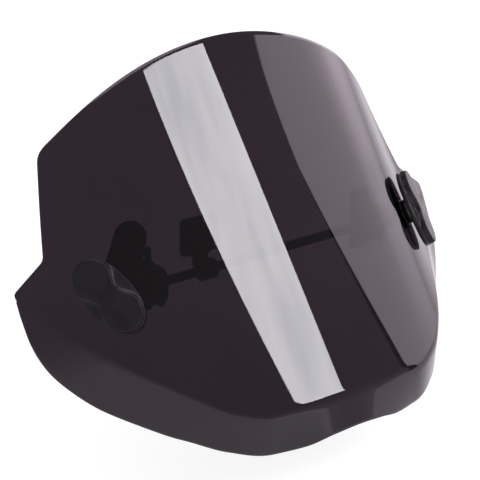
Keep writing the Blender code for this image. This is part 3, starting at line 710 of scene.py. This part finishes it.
def border(columns, rows):
    """Grid places round the sheet's edge, in order."""
    top = [(i, 0) for i in range(columns)]
    right = [(columns - 1, j) for j in range(1, rows)]
    bottom = [(i, rows - 1) for i in range(columns - 2, -1, -1)]
    left = [(0, j) for j in range(rows - 2, 0, -1)]
    return top + right + bottom + left


def build_sheet():
    """The screen: two faces, a polished edge round them and the holes for the grommets."""
    grid = sheet_grid(*(((125, 84, 12, 12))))
    normals = grid_normals(grid)
    columns, rows = len(grid), len(grid[0])
    bm = bmesh.new()
    outer = [[bm.verts.new(p) for p in column] for column in grid]
    inner = [[bm.verts.new(p - n * SHEET) for p, n in zip(column, line)]
             for column, line in zip(grid, normals)]
    for side in (outer, inner):
        for a, b in zip(side, side[1:]):
            for k in range(rows - 1):
                bm.faces.new((a[k], a[k + 1], b[k + 1], b[k]))
    loop = border(columns, rows)
    depths = (0.94, 0.75, 0.4, 0.0, -0.4, -0.75, -0.94)
    rings = [[] for _ in depths]
    for index, (i, j) in enumerate(loop):
        before = loop[index - 1]
        after = loop[(index + 1) % len(loop)]
        tangent = grid[after[0]][after[1]] - grid[before[0]][before[1]]
        normal = normals[i][j]
        out = normal.cross(tangent).normalized()
        centre = grid[i][j] - normal * (SHEET / 2)
        for ring, depth in zip(rings, depths):
            swell = EDGE_BULGE * (1.0 - depth ** 4)
            ring.append(bm.verts.new(centre + normal * (SHEET / 2 * depth) + out * swell))
    strips = [[outer[i][j] for i, j in loop], *rings, [inner[i][j] for i, j in loop]]
    for a, b in zip(strips, strips[1:]):
        strip(bm, a, b)
    sheet = raw_object("screen_panel", bm)
    cutters = [cylinder("hole_" + side, HOLE_R, -12, 12, stud_frame(sign))
               for side, sign in SIDES]
    combine(sheet, cutters, "DIFFERENCE")
    finish_piece(sheet, "screen", "smoked_acrylic", ["screen_sheet"], sharp=55.0)


# ---- knobs and the rest of the clamp stack ----------------------------------
def smoothstep(t):
    """Zero up to 0 and one from 1, with a soft start and end."""
    t = min(max(t, 0.0), 1.0)
    return t * t * (3.0 - 2.0 * t)


def knob_ring(z, scale, pinch, rib):
    """One level of the knob: an oval, drawn in at its waist, with ribs on its ends."""
    half_length, half_width = KNOB_LENGTH / 2, KNOB_WIDTH / 2
    squareness = 0.9
    around = 288
    ring = []
    for k in range(around):
        angle = 2 * math.pi * k / around
        c, s = math.cos(angle), math.sin(angle)
        along = half_length * scale * math.copysign(abs(c) ** squareness, c)
        waist = 1.0 - pinch * math.exp(-((along / (WAIST_REACH * half_length)) ** 2))
        across = half_width * scale * waist * math.copysign(abs(s) ** squareness, s)
        lobe = smoothstep((abs(along) / half_length - 0.55) / 0.2)
        cut = 1.0 - rib * lobe * (0.5 + 0.5 * math.cos(angle * around / 4)) / half_width
        ring.append((across * cut, along * cut, z))
    return ring


def knob_levels():
    """(z, scale, pinch, rib depth) from the foot of the knob to its rounded top."""
    disc = KNOB_DISC
    foot = [(0.0, 0.955), (0.15, 0.972), (0.4, 0.985), (0.7, 0.995), (1.1, 1.0),
            (disc - 1.0, 1.0), (disc - 0.45, 0.999)]
    levels = [(z, scale, 0.0, 0.0) for z, scale in foot]
    levels += [(disc - 0.12, 0.995, 0.01, 0.0), (disc, 0.99, 0.03, 0.0)]
    grip = disc + 2.4
    crown = KNOB_HEIGHT - 1.6
    steps = 8
    for k in range(1, steps + 1):
        t = k / steps
        levels.append((disc + 0.05 + (grip - disc) * t ** 1.7, 0.99 - 0.008 * t,
                       0.02 + (WAIST_PINCH - 0.04) * smoothstep(0.15 + 0.85 * t),
                       KNOB_RIB * smoothstep(t * 2)))
    for t in (0.25, 0.5, 0.75, 1.0):
        levels.append((grip + (crown - grip) * t, 0.982 - 0.006 * t,
                       WAIST_PINCH - 0.02 + 0.02 * t, KNOB_RIB))
    for k in range(1, steps + 1):
        angle = math.pi / 2 * k / steps
        levels.append((crown + 1.1 * math.sin(angle), 0.976 - 0.04 * (1 - math.cos(angle)),
                       WAIST_PINCH, KNOB_RIB * math.cos(angle)))
    return levels


def knob_crown(bm, rim):
    """Close the top with shrinking rings that rise a little to the middle."""
    previous = rim
    for share, lift in ((0.9, 0.16), (0.7, 0.3), (0.45, 0.42), (0.2, 0.49)):
        ring = [bm.verts.new((v.co.x * share, v.co.y * share, v.co.z + lift)) for v in rim]
        strip(bm, previous, ring)
        previous = ring
    strip(bm, previous, [bm.verts.new((0, 0, rim[0].co.z + 0.5))])


def build_knob(side, sign):
    """Wing knob, hollowed below, with its threaded insert."""
    at = stud_frame(sign, KNOB_ANGLE[side]) @ Matrix.Translation((0, 0, KNOB_BASE * MM))
    bm = bmesh.new()
    rings = [[bm.verts.new(p) for p in knob_ring(*level)] for level in knob_levels()]
    for a, b in zip(rings, rings[1:]):
        strip(bm, a, b)
    bm.faces.new(list(reversed(rings[0])))
    knob_crown(bm, rings[-1])
    knob = raw_object("knob_grip_" + side, bm, at)
    pocket = cylinder("pocket", INSERT_R + GAP, -2, INSERT_HIGH + 0.4, at)
    groove = [(HOLLOW_IN, -2.0), (HOLLOW_OUT, -2.0), (HOLLOW_OUT, HOLLOW_DEEP),
              (HOLLOW_IN, HOLLOW_DEEP)]
    hollow = raw_object("hollow", turned(rounded(groove, 0.4)), at)
    combine(knob, [pocket, hollow], "DIFFERENCE")
    finish_piece(knob, "knob_" + side, "knob_plastic", ["knob_" + side], sharp=50.0)

    profile = [(STUD_BORE, INSERT_LOW), (INSERT_R, INSERT_LOW),
               (INSERT_R, GROOVE_LOW - GROOVE_SLOPE), (INSERT_GROOVE_R, GROOVE_LOW),
               (INSERT_GROOVE_R, GROOVE_HIGH), (INSERT_R, GROOVE_HIGH + GROOVE_SLOPE),
               (INSERT_R, INSERT_HIGH), (STUD_BORE, INSERT_HIGH)]
    insert = raw_object("threaded_insert_" + side, turned(rounded(profile, 0.2, 3)), at)
    finish_piece(insert, "knob_" + side, "brass", ["knob_insert_" + side])


def build_washers(side, sign):
    """The washer under the knob and the one under the stud's head."""
    at = stud_frame(sign)
    low = GAP + GROMMET_LIP + GAP
    front = tube(STUD_BORE, CLAMP_R, low, low + CLAMP_THICK, 0.45)
    finish_piece(raw_object("clamp_disc_" + side, front, at),
                 "clamp_" + side, "steel", ["clamp_washer_" + side])
    high = -(ARM_FRONT + ARM_THICK + GAP)
    back = tube(STUD_BORE, BACK_WASHER_R, high - BACK_WASHER, high, 0.25)
    finish_piece(raw_object("back_washer_" + side, back, at),
                 "screen", "steel", ["stud_washer_" + side])


def build_grommet(side, sign):
    """Rubber grommet: a waist through the sheet and a lip on each face."""
    waist = HOLE_R - GAP
    front, back = GAP, -SHEET - GAP
    profile = [(STUD_BORE, back - GROMMET_LIP), (GROMMET_R, back - GROMMET_LIP),
               (GROMMET_R, back), (waist, back), (waist, front), (GROMMET_R, front),
               (GROMMET_R, front + GROMMET_LIP), (STUD_BORE, front + GROMMET_LIP)]
    grommet = raw_object("sheet_grommet_" + side, turned(rounded(profile, 0.55, 4)),
                         stud_frame(sign))
    finish_piece(grommet, "screen", "rubber", ["grommet_" + side])


def build_stud(side, sign):
    """Stud with thread rings and a hexagon head behind the arm."""
    at = stud_frame(sign)
    seat = -(ARM_FRONT + ARM_THICK + GAP + BACK_WASHER + GAP)
    shank = STUD_R - 0.05
    profile = [(0, seat - 0.5), (shank, seat - 0.5)]
    for k in range(THREAD_TURNS):
        z = 1.0 + (STUD_OUT - 2.0) * k / THREAD_TURNS
        profile += [(shank, z), (shank - THREAD_DEPTH, z + 0.33)]
    profile += [(shank, STUD_OUT - 0.9), (shank - 0.7, STUD_OUT), (0, STUD_OUT)]
    stud = raw_object("clamp_stud_" + side, turned(profile, 48), at)
    end = seat - HEAD_THICK
    head = raw_object("head", prism(hexagon(HEAD_R), end, seat), at)
    soften(head, 0.35, 40.0)
    cone = [(0, seat + 0.2), (HEAD_R + 0.2, seat + 0.2), (HEAD_R + 0.2, end + 0.9),
            (HEAD_R * 0.86, end - 0.1), (0, end - 0.1)]
    combine(head, [raw_object("cone", turned(cone), at)], "INTERSECT")
    combine(stud, [head], "UNION")
    finish_piece(stud, "screen", "steel", ["stud_" + side], sharp=40.0)


# ---- support arms -----------------------------------------------------------
def arm_station(sign, share):
    """Centre line of an arm: the point on the sheet, its normal and its side way."""
    x = sign * (KNOB_X + (ARM_END[0] - KNOB_X) * share)
    h = KNOB_H + (ARM_END[1] - KNOB_H) * share
    step = 0.02
    ahead = panel_point(x + sign * (ARM_END[0] - KNOB_X) * step, h + (ARM_END[1] - KNOB_H) * step)
    point = panel_point(x, h)
    normal = panel_normal(x, h)
    tangent = (ahead - point).normalized()
    return point, normal, tangent, tangent.cross(normal)


def stadium(start, end, half_start, half_end, cap_steps, steps, sweep):
    """(share of the arm's line, overrun along it, half-width) of a round-ended strip."""
    turns = [math.radians(sweep) * k / cap_steps for k in range(cap_steps + 1)]
    rows = [(start, -half_start * math.sin(a), half_start * math.cos(a))
            for a in reversed(turns)]
    for k in range(1, steps):
        t = k / steps
        rows.append((start + (end - start) * t, 0.0, half_start + (half_end - half_start) * t))
    return rows + [(end, half_end * math.sin(a), half_end * math.cos(a)) for a in turns]


def strap_ring(sign, share, overrun, half):
    """Ring of points round the arm's rounded section at one station."""
    point, normal, tangent, across = arm_station(sign, share)
    centre = point + tangent * overrun
    edge = min(0.9, half * 0.95)
    middle = ARM_FRONT + ARM_THICK / 2
    ring = []
    for corner, (side, deep) in enumerate(((1, -1), (1, 1), (-1, 1), (-1, -1))):
        for k in range(5):
            angle = -math.pi / 2 + math.pi / 2 * (corner + k / 4)
            offset = side * (half - edge) + edge * math.cos(angle)
            depth = middle + deep * (ARM_THICK / 2 - edge) + edge * math.sin(angle)
            ring.append(centre + across * offset - normal * depth)
    return ring


def trough_ring(sign, share, overrun, half):
    """Ring of the trough that is sunk into the arm's rear face."""
    point, normal, tangent, across = arm_station(sign, share)
    centre = point + tangent * overrun
    floor = ARM_FRONT + ARM_THICK - TROUGH_DEEP
    above = ARM_FRONT + ARM_THICK + 3.0
    return [centre + across * offset - normal * depth
            for offset, depth in ((-half, floor), (half, floor), (half, above), (-half, above))]


def build_arm(side, sign):
    """Arm with its hub and rib, bored for the bush and the stud, and its pad."""
    rows = stadium(0.0, 1.0, ARM_FOOT_R, ARM_END_R, 12, 30, 88)
    arm = raw_object("swing_arm_" + side, skin([strap_ring(sign, *row) for row in rows]))
    rows = stadium(*TROUGH_ENDS, TROUGH_HALF, TROUGH_HALF, 8, 12, 86)
    trough = raw_object("trough", skin([trough_ring(sign, *row) for row in rows]))
    combine(arm, [trough], "DIFFERENCE")

    hub_frame = across_frame(sign * HUB_IN)
    low, high = sorted((0, sign * (HUB_OUT - HUB_IN)))
    profile = [(0, low), (HUB_R, low), (HUB_R, high), (0, high)]
    hub = raw_object("hub", solid_turn(profile, 0.9), hub_frame)

    outward = Vector((0, *panel_normal(sign * KNOB_X, KNOB_H).yz)).normalized()
    rib_frame = Matrix((Vector((sign, 0, 0)), outward, Vector((sign, 0, 0)).cross(outward)))
    outline = [(HUB_IN, 2.0), (HUB_OUT - 2.0, 2.0), (HUB_OUT + 4.0, 7.0), (HUB_IN + 3.0, 15.5),
               (HUB_IN, 15.0)]
    rib = raw_object("rib", prism(rounded(outline, 1.2), -4.0, 4.0),
                     rib_frame.transposed().to_4x4())
    soften(rib, 0.8)
    combine(arm, [hub, rib], "UNION")

    bore_low, bore_high = sorted((-sign * 2.0, sign * (ROD_HALF + 0.8 - HUB_IN)))
    bore = cylinder("bore", ROD_R + BUSH_WALL + 2 * GAP, bore_low, bore_high, hub_frame)
    hole = cylinder("hole", STUD_BORE, -18, 2, stud_frame(sign))
    combine(arm, [bore, hole], "DIFFERENCE")
    finish_piece(arm, "screen", "stay_plastic", ["support_arm_" + side], sharp=38.0)

    point, normal, _, _ = arm_station(sign, 1.0)
    low, high = -(ARM_FRONT - GAP), -(SHEET + 0.9)
    profile = [(0, low), (PAD_R, low), (PAD_R, high), (PAD_R - 2.2, high), (PAD_R - 3.0, high - 0.4),
               (0, high - 0.4)]
    pad = raw_object("rest_pad_" + side, solid_turn(profile, 0.35), frame_along(point, normal))
    finish_piece(pad, "screen", "rubber", ["arm_pad_" + side])


# ---- cross rod and stay -----------------------------------------------------
def build_rod():
    """The rod, with chamfered ends and a groove near each."""
    profile = [(0, -ROD_HALF), (ROD_R - 0.8, -ROD_HALF), (ROD_R, -ROD_HALF + 0.8)]
    for groove in (-ROD_HALF + 5.0, ROD_HALF - 6.0):
        profile += [(ROD_R, groove), (ROD_R - 0.3, groove + 0.1), (ROD_R - 0.3, groove + 0.9),
                    (ROD_R, groove + 1.0)]
    profile += [(ROD_R, ROD_HALF - 0.8), (ROD_R - 0.8, ROD_HALF), (0, ROD_HALF)]
    rod = raw_object("tilt_rod", turned(profile), across_frame(0))
    finish_piece(rod, "stay", "black_steel", ["cross_rod"])


def build_bush(side, sign):
    """Flanged bush between an arm's hub and the rod."""
    inner = ROD_R + GAP
    outer = inner + BUSH_WALL
    flange = HUB_IN - GAP
    ring = [(inner, flange - 1.2), (WASHER_R, flange - 1.2), (WASHER_R, flange),
            (outer, flange), (outer, ROD_HALF - 0.5), (inner, ROD_HALF - 0.5)]
    profile = [(r, z if sign > 0 else -z) for r, z in ring]
    bush = raw_object("flanged_bush_" + side, turned(rounded(profile, 0.3, 3)), across_frame(0))
    finish_piece(bush, "screen", "nylon", ["hub_bush_" + side])


def build_clamp_half(sign, name, node, outline, rounding, holes):
    """Half of a rod clamp from its (y, z) outline; holes are (radius, low, high, y, z)."""
    matrix = Matrix(((0, 0, 1, sign * BRACKET_MIDDLE * MM), (1, 0, 0, 0), (0, 1, 0, 0),
                     (0, 0, 0, 1)))
    bm = prism(rounded(outline, rounding, 4), -BRACKET_HALF, BRACKET_HALF)
    half = raw_object(name, bm, matrix)
    soften(half, 0.7)
    cutters = [cylinder("seat", ROD_R + LINER_WALL + 2 * GAP, -20, 20,
                        across_frame(sign * BRACKET_MIDDLE))]
    for _, level in LEVELS:
        for radius, low, high, y, z in holes:
            cutters.append(cylinder("hole", radius, low, high, lateral_frame(sign, y, level * z)))
    combine(half, cutters, "DIFFERENCE")
    finish_piece(half, "stay", "stay_plastic", [node], sharp=38.0)


def build_bracket(side, sign):
    """Rear half of the rod clamp, with its foot."""
    split = BRACKET_SPLIT + GAP / 2
    foot = BRACKET_BACK - FOOT_THICK
    outline = [(split, BRACKET_LOW), (foot - 2.5, BRACKET_LOW), (foot, BRACKET_LOW - 2.5),
               (foot, FOOT_LOW), (BRACKET_BACK, FOOT_LOW), (BRACKET_BACK, FOOT_HIGH),
               (foot, FOOT_HIGH), (foot, BRACKET_HIGH + 2.5), (foot - 2.5, BRACKET_HIGH),
               (split, BRACKET_HIGH)]
    holes = [(FOOT_HOLE_R, -10, 20, BRACKET_BACK, FOOT_HOLE_Z),
             (CAP_SCREW_R + GAP, -13, 30, 0, CAP_SCREW_Z)]
    build_clamp_half(sign, "bracket_body_" + side, "bracket_" + side, outline, 1.6, holes)


def build_cap(side, sign):
    """Front half of the rod clamp, with its screw holes."""
    low, high, front = BRACKET_LOW, BRACKET_HIGH, BRACKET_FRONT
    split = BRACKET_SPLIT - GAP / 2
    outline = [(split, low), (split, high), (front + 6, high), (front + 2, high - 3),
               (front, high - 8), (front, low + 8), (front + 2, low + 3), (front + 6, low)]
    holes = [(CAP_SCREW_R + GAP, -3, 30, 0, CAP_SCREW_Z)]
    build_clamp_half(sign, "bracket_front_" + side, "bracket_cap_" + side, outline, 1.4, holes)


def socket_cutter(radius, low, high, matrix):
    """Hexagon socket for a key."""
    return raw_object("socket", prism(hexagon(radius), low, high), matrix)


def build_cap_screw(side, sign, name, level):
    """Screw that holds a cap to its bracket, driven from the front."""
    at = lateral_frame(sign, 0, level * CAP_SCREW_Z)
    seat = -BRACKET_FRONT + GAP
    top = seat + 3.0
    profile = [(0, CAP_SCREW_END), (CAP_SCREW_R - 0.5, CAP_SCREW_END),
               (CAP_SCREW_R, CAP_SCREW_END + 0.5), (CAP_SCREW_R, seat),
               (CAP_SCREW_HEAD_R, seat), (CAP_SCREW_HEAD_R, top), (0, top)]
    screw = raw_object(f"socket_screw_{side}_{name}", solid_turn(profile, 0.35), at)
    combine(screw, [socket_cutter(SOCKET_R, top - 1.8, top + 1.0, at)], "DIFFERENCE")
    finish_piece(screw, "stay", "steel", [f"cap_screw_{side}_{name}"])


def build_sleeve(side, sign, name, level):
    """Steel sleeve that takes the squeeze of a foot's bolt."""
    at = lateral_frame(sign, BRACKET_BACK, level * FOOT_HOLE_Z)
    sleeve = raw_object(f"squeeze_sleeve_{side}_{name}",
                        tube(FOOT_SLEEVE_BORE_R, FOOT_HOLE_R - GAP, 0.0, FOOT_THICK), at)
    finish_piece(sleeve, "stay", "steel", [f"foot_sleeve_{side}_{name}"])


def build_liner(name, node, x, half):
    """Rubber liner round the rod, ribbed outside."""
    inner = ROD_R + GAP
    outer = inner + LINER_WALL
    groove = outer - 0.35
    ribs = max(3, int(half / 1.4))
    step = 2 * half / ribs
    profile = [(inner, -half)]
    for k in range(ribs):
        z = -half + 2 * half * k / ribs
        profile += [(outer, z + step * 0.1), (outer, z + step * 0.6),
                    (groove, z + step * 0.72), (groove, z + step * 0.98)]
    profile += [(groove, half), (inner, half)]
    liner = raw_object(name, turned(profile), across_frame(x))
    finish_piece(liner, "stay", "rubber", [node], sharp=50.0)


def build_steady():
    """Clip on the rod whose plate bolts to the motorcycle."""
    ring_in = ROD_R + GAP + LINER_WALL + GAP
    clip = raw_object("steady_loop",
                      tube(ring_in, ring_in + STEADY_WALL, -STEADY_HALF, STEADY_HALF, 0.5),
                      across_frame(STEADY_X))
    y_low = ring_in + TAB_START
    y_high = y_low + TAB_THICK
    neck = STEADY_HALF
    right = [(neck, 0.0), (neck, TAB_LOW - 3.0), (neck + 3.0, TAB_LOW), (TAB_HALF, TAB_LOW),
             (TAB_HALF, TAB_HIGH)]
    outline = rounded(right + [(-x, z) for x, z in reversed(right)], 5.0, 8)
    tab_frame = Matrix(((1, 0, 0, STEADY_X * MM), (0, 0, 1, 0), (0, 1, 0, 0), (0, 0, 0, 1)))
    tab = raw_object("tab", prism(outline, y_low, y_high), tab_frame)
    soften(tab, 0.6)
    combine(clip, [tab], "UNION")
    bolt_at = Matrix.Translation((STEADY_X * MM, y_high * MM, TAB_BOLT_Z * MM)) @ FROM_FRONT
    bore = cylinder("bore", ring_in, -STEADY_HALF - 1, STEADY_HALF + 1, across_frame(STEADY_X))
    hole = cylinder("hole", STUD_BORE, -5, 12, bolt_at)
    combine(clip, [bore, hole], "DIFFERENCE")
    finish_piece(clip, "stay", "stay_plastic", ["steady_clip"], sharp=38.0)

    seat = TAB_THICK + GAP
    profile = [(0, -12), (STUD_R - 0.6, -12), (STUD_R, -11.4), (STUD_R, seat), (8.5, seat),
               (8.5, seat + 1.3), (6.4, seat + 1.6), (5.6, seat + 4.1), (4.6, seat + 4.5),
               (0, seat + 4.5)]
    bolt = raw_object("flange_bolt", solid_turn(profile, 0.35), bolt_at)
    combine(bolt, [socket_cutter(2.6, seat + 2.0, seat + 6.0, bolt_at)], "DIFFERENCE")
    finish_piece(bolt, "stay", "black_steel", ["steady_bolt"])
    build_liner("steady_sleeve", "steady_liner", STEADY_X, STEADY_HALF - 0.5)


# ---- studio -----------------------------------------------------------------
def direction(azimuth, elevation):
    """Unit vector; azimuth 0 is the front (-Y) and grows towards +X, in degrees."""
    a, e = math.radians(azimuth), math.radians(elevation)
    return Vector((math.sin(a) * math.cos(e), -math.cos(a) * math.cos(e), math.sin(e)))


def build_camera():
    """The view of the sheet from its right-hand side, as it is ridden."""
    data = bpy.data.cameras.new("camera")
    data.lens = CAMERA_LENS
    data.sensor_width = 36.0
    data.clip_end = 100.0
    camera = bpy.data.objects.new("camera", data)
    bpy.context.scene.collection.objects.link(camera)
    back = direction(CAMERA_AZIMUTH, CAMERA_ELEVATION)
    camera.location = CAMERA_AIM + back * CAMERA_DISTANCE
    camera.rotation_mode = "QUATERNION"
    camera.rotation_quaternion = (-back).to_track_quat("-Z", "Y")
    bpy.context.scene.camera = camera


def lamp_cloth(name, strength, dark, light):
    """Lamp cloth: even light with faint folds."""
    mat = bpy.data.materials.new(name)
    mat.use_nodes = True
    mat.node_tree.nodes.clear()
    add = node_adder(mat.node_tree)
    folds = noise(add, object_coordinates(add), 1.6, 3.0, 0.5, (2.2, 2.2, 0.5))
    colour = two_tone(add, folds, dark, light, 0.3, 0.7)
    emission = add("ShaderNodeEmission", [(colour, "Color")], Strength=strength)
    add("ShaderNodeOutputMaterial", [(emission.outputs["Emission"], "Surface")])
    return mat


def card(name, corners, faces, mat):
    """Lamp face from corners in metres, seen in reflections but not by the camera."""
    mesh = bpy.data.meshes.new(name)
    mesh.from_pydata([tuple(c) for c in corners], [], faces)
    mesh.materials.append(mat)
    obj = bpy.data.objects.new(name, mesh)
    bpy.context.scene.collection.objects.link(obj)
    obj.visible_camera = False
    obj.visible_transmission = False
    obj.visible_shadow = False


def mirrored(x, h):
    """The place on the lamp that the sheet at (x, h) mirrors towards the camera."""
    point = panel_point(x, h) * MM
    normal = panel_normal(x, h)
    view = (bpy.context.scene.camera.location - point).normalized()
    return point + (normal * (2.0 * normal.dot(view)) - view) * SOFTBOX_DISTANCE


def build_lamps():
    """One tall softbox whose mirror image is a band down the sheet's middle."""
    cloth = lamp_cloth("softbox_cloth", 15.0, (0.74, 0.73, 0.80), (1.0, 0.97, 1.0))
    rows = 24
    left, right = [], []
    for k in range(rows + 1):
        share = k / rows
        h = BAND_TOP_LEFT + (BAND_BOTTOM - BAND_TOP_LEFT) * share
        bow = max(1.0 - h / BAND_TOP_LEFT, 0.0) ** 1.9
        left.append(mirrored(BAND_LEFT_HIGH + (BAND_LEFT_LOW - BAND_LEFT_HIGH) * bow, h))
        h = BAND_TOP_RIGHT + (BAND_BOTTOM - BAND_TOP_RIGHT) * share
        lean = 1.0 - h / BAND_TOP_RIGHT
        right.append(mirrored(BAND_RIGHT_HIGH + (BAND_RIGHT_LOW - BAND_RIGHT_HIGH) * lean, h))
    faces = [(k, k + 1, rows + k + 2, rows + k + 1) for k in range(rows)]
    card("softbox", left + right, faces, cloth)


def build_world():
    """White surroundings; in mirrors, a grey room with a white wall on the right."""
    world = bpy.data.worlds.new("studio")
    bpy.context.scene.world = world
    world.use_nodes = True
    tree = world.node_tree
    tree.nodes.clear()
    add = node_adder(tree)

    def calc(operation, a, b=None, clamp=False):
        """A math node's result from one or two values, each a number or a socket."""
        node = add("ShaderNodeMath", operation=operation, use_clamp=clamp)
        for socket, value in zip(node.inputs, (a, b)):
            if isinstance(value, bpy.types.NodeSocket):
                tree.links.new(value, socket)
            elif value is not None:
                socket.default_value = value
        return node.outputs[0]

    def times(a, b):
        """The product of two values."""
        return calc("MULTIPLY", a, b)

    def rise(value, start, width):
        """Zero up to start, then rising to one over width."""
        return calc("DIVIDE", calc("SUBTRACT", value, start), width, True)

    def fall(value, end, width):
        """One up to width before the end, then falling to zero."""
        return calc("DIVIDE", calc("SUBTRACT", end, value), width, True)

    where = add("ShaderNodeTexCoord").outputs["Generated"]
    x, y, z = add("ShaderNodeSeparateXYZ", [(where, 0)]).outputs
    azimuth = times(calc("ARCTAN2", x, times(y, -1.0)), 180 / math.pi)
    elevation = times(calc("ARCSINE", z), 180 / math.pi)
    # the room, lighter round the horizon
    fade = calc("SUBTRACT", 1.0, calc("DIVIDE", elevation, HAZE_TOP, True))
    room = calc("ADD", times(times(fade, fade), HAZE_LIGHT), ROOM_LIGHT)
    # a white wall on the right, with a rounded upper corner, dimmer near the floor
    past = fall(azimuth, WALL_START + WALL_CORNER, WALL_CORNER)
    roof = calc("SUBTRACT", WALL_TOP, times(calc("POWER", past, 3.0), WALL_CORNER_DROP))
    under = fall(elevation, roof, 0.5)
    sides = times(rise(azimuth, WALL_START - EDGE_BLUR / 2, EDGE_BLUR),
                  fall(azimuth, WALL_END + EDGE_BLUR / 2, EDGE_BLUR))
    lift = times(calc("DIVIDE", elevation, WALL_LIFT, True), WALL_LIGHT - WALL_LOW_LIGHT)
    wall = times(times(sides, under), calc("ADD", lift, WALL_LOW_LIGHT))
    far_side = times(rise(azimuth, FAR_START, FAR_WIDTH), FAR_GAIN)
    wall = times(wall, calc("ADD", far_side, 1.0))
    # a dark gap beside the wall, which widens downwards
    widening = times(calc("SUBTRACT", GAP_TOP, elevation), GAP_LEAN)
    edge = calc("SUBTRACT", WALL_START, calc("MAXIMUM", widening, 0.0))
    gap = times(rise(azimuth, edge, EDGE_BLUR), fall(azimuth, WALL_START + 0.2, EDGE_BLUR))
    room = times(room, calc("SUBTRACT", 1.0, gap))
    # a bright ceiling
    ceiling = times(rise(elevation, CEILING_START - 2.0, 4.0), CEILING_LIGHT)
    total = calc("ADD", calc("MAXIMUM", wall, room), ceiling)
    seen = add("ShaderNodeBackground", Color=(1.0, 1.0, 1.0, 1.0), Strength=1.0)
    in_mirrors = add("ShaderNodeBackground", [(total, "Strength")], Color=(*MIRROR_TINT, 1.0))
    mix = add("ShaderNodeMixShader", [(in_mirror(add), 0), (seen.outputs[0], 1),
                                      (in_mirrors.outputs[0], 2)])
    add("ShaderNodeOutputWorld", [(mix.outputs[0], "Surface")])


def build_floor(height):
    """Round floor, wide enough to fill the view."""
    bm = bmesh.new()
    bmesh.ops.create_circle(bm, cap_ends=True, segments=96, radius=FLOOR_SIZE / MM)
    floor = raw_object("floor", bm, Matrix.Translation((0, 0, height)))
    floor.data.materials.append(floor_paper())


# ---- assembly ---------------------------------------------------------------
def lowest_swing():
    """How far below the rod's axis the sheet can reach when it tilts, in metres."""
    low, _ = CAD_BOX
    reach = max(math.hypot(v.co.y, v.co.z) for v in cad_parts["screen_sheet"].data.vertices
                if v.co.z < 0.8 * low.z)
    return reach


build_camera()
build_world()
build_lamps()
build_sheet()
build_rod()
build_steady()
for side_name, side_sign in SIDES:
    build_knob(side_name, side_sign)
    build_washers(side_name, side_sign)
    build_grommet(side_name, side_sign)
    build_stud(side_name, side_sign)
    build_arm(side_name, side_sign)
    build_bush(side_name, side_sign)
    build_bracket(side_name, side_sign)
    build_cap(side_name, side_sign)
    build_liner("clamp_sleeve_" + side_name, "rod_liner_" + side_name,
                side_sign * BRACKET_MIDDLE, BRACKET_HALF - 0.5)
    for level_name, level_sign in LEVELS:
        build_cap_screw(side_name, side_sign, level_name, level_sign)
        build_sleeve(side_name, side_sign, level_name, level_sign)
build_floor(-lowest_swing() - 0.002)
bpy.context.scene.view_settings.view_transform = "Standard"
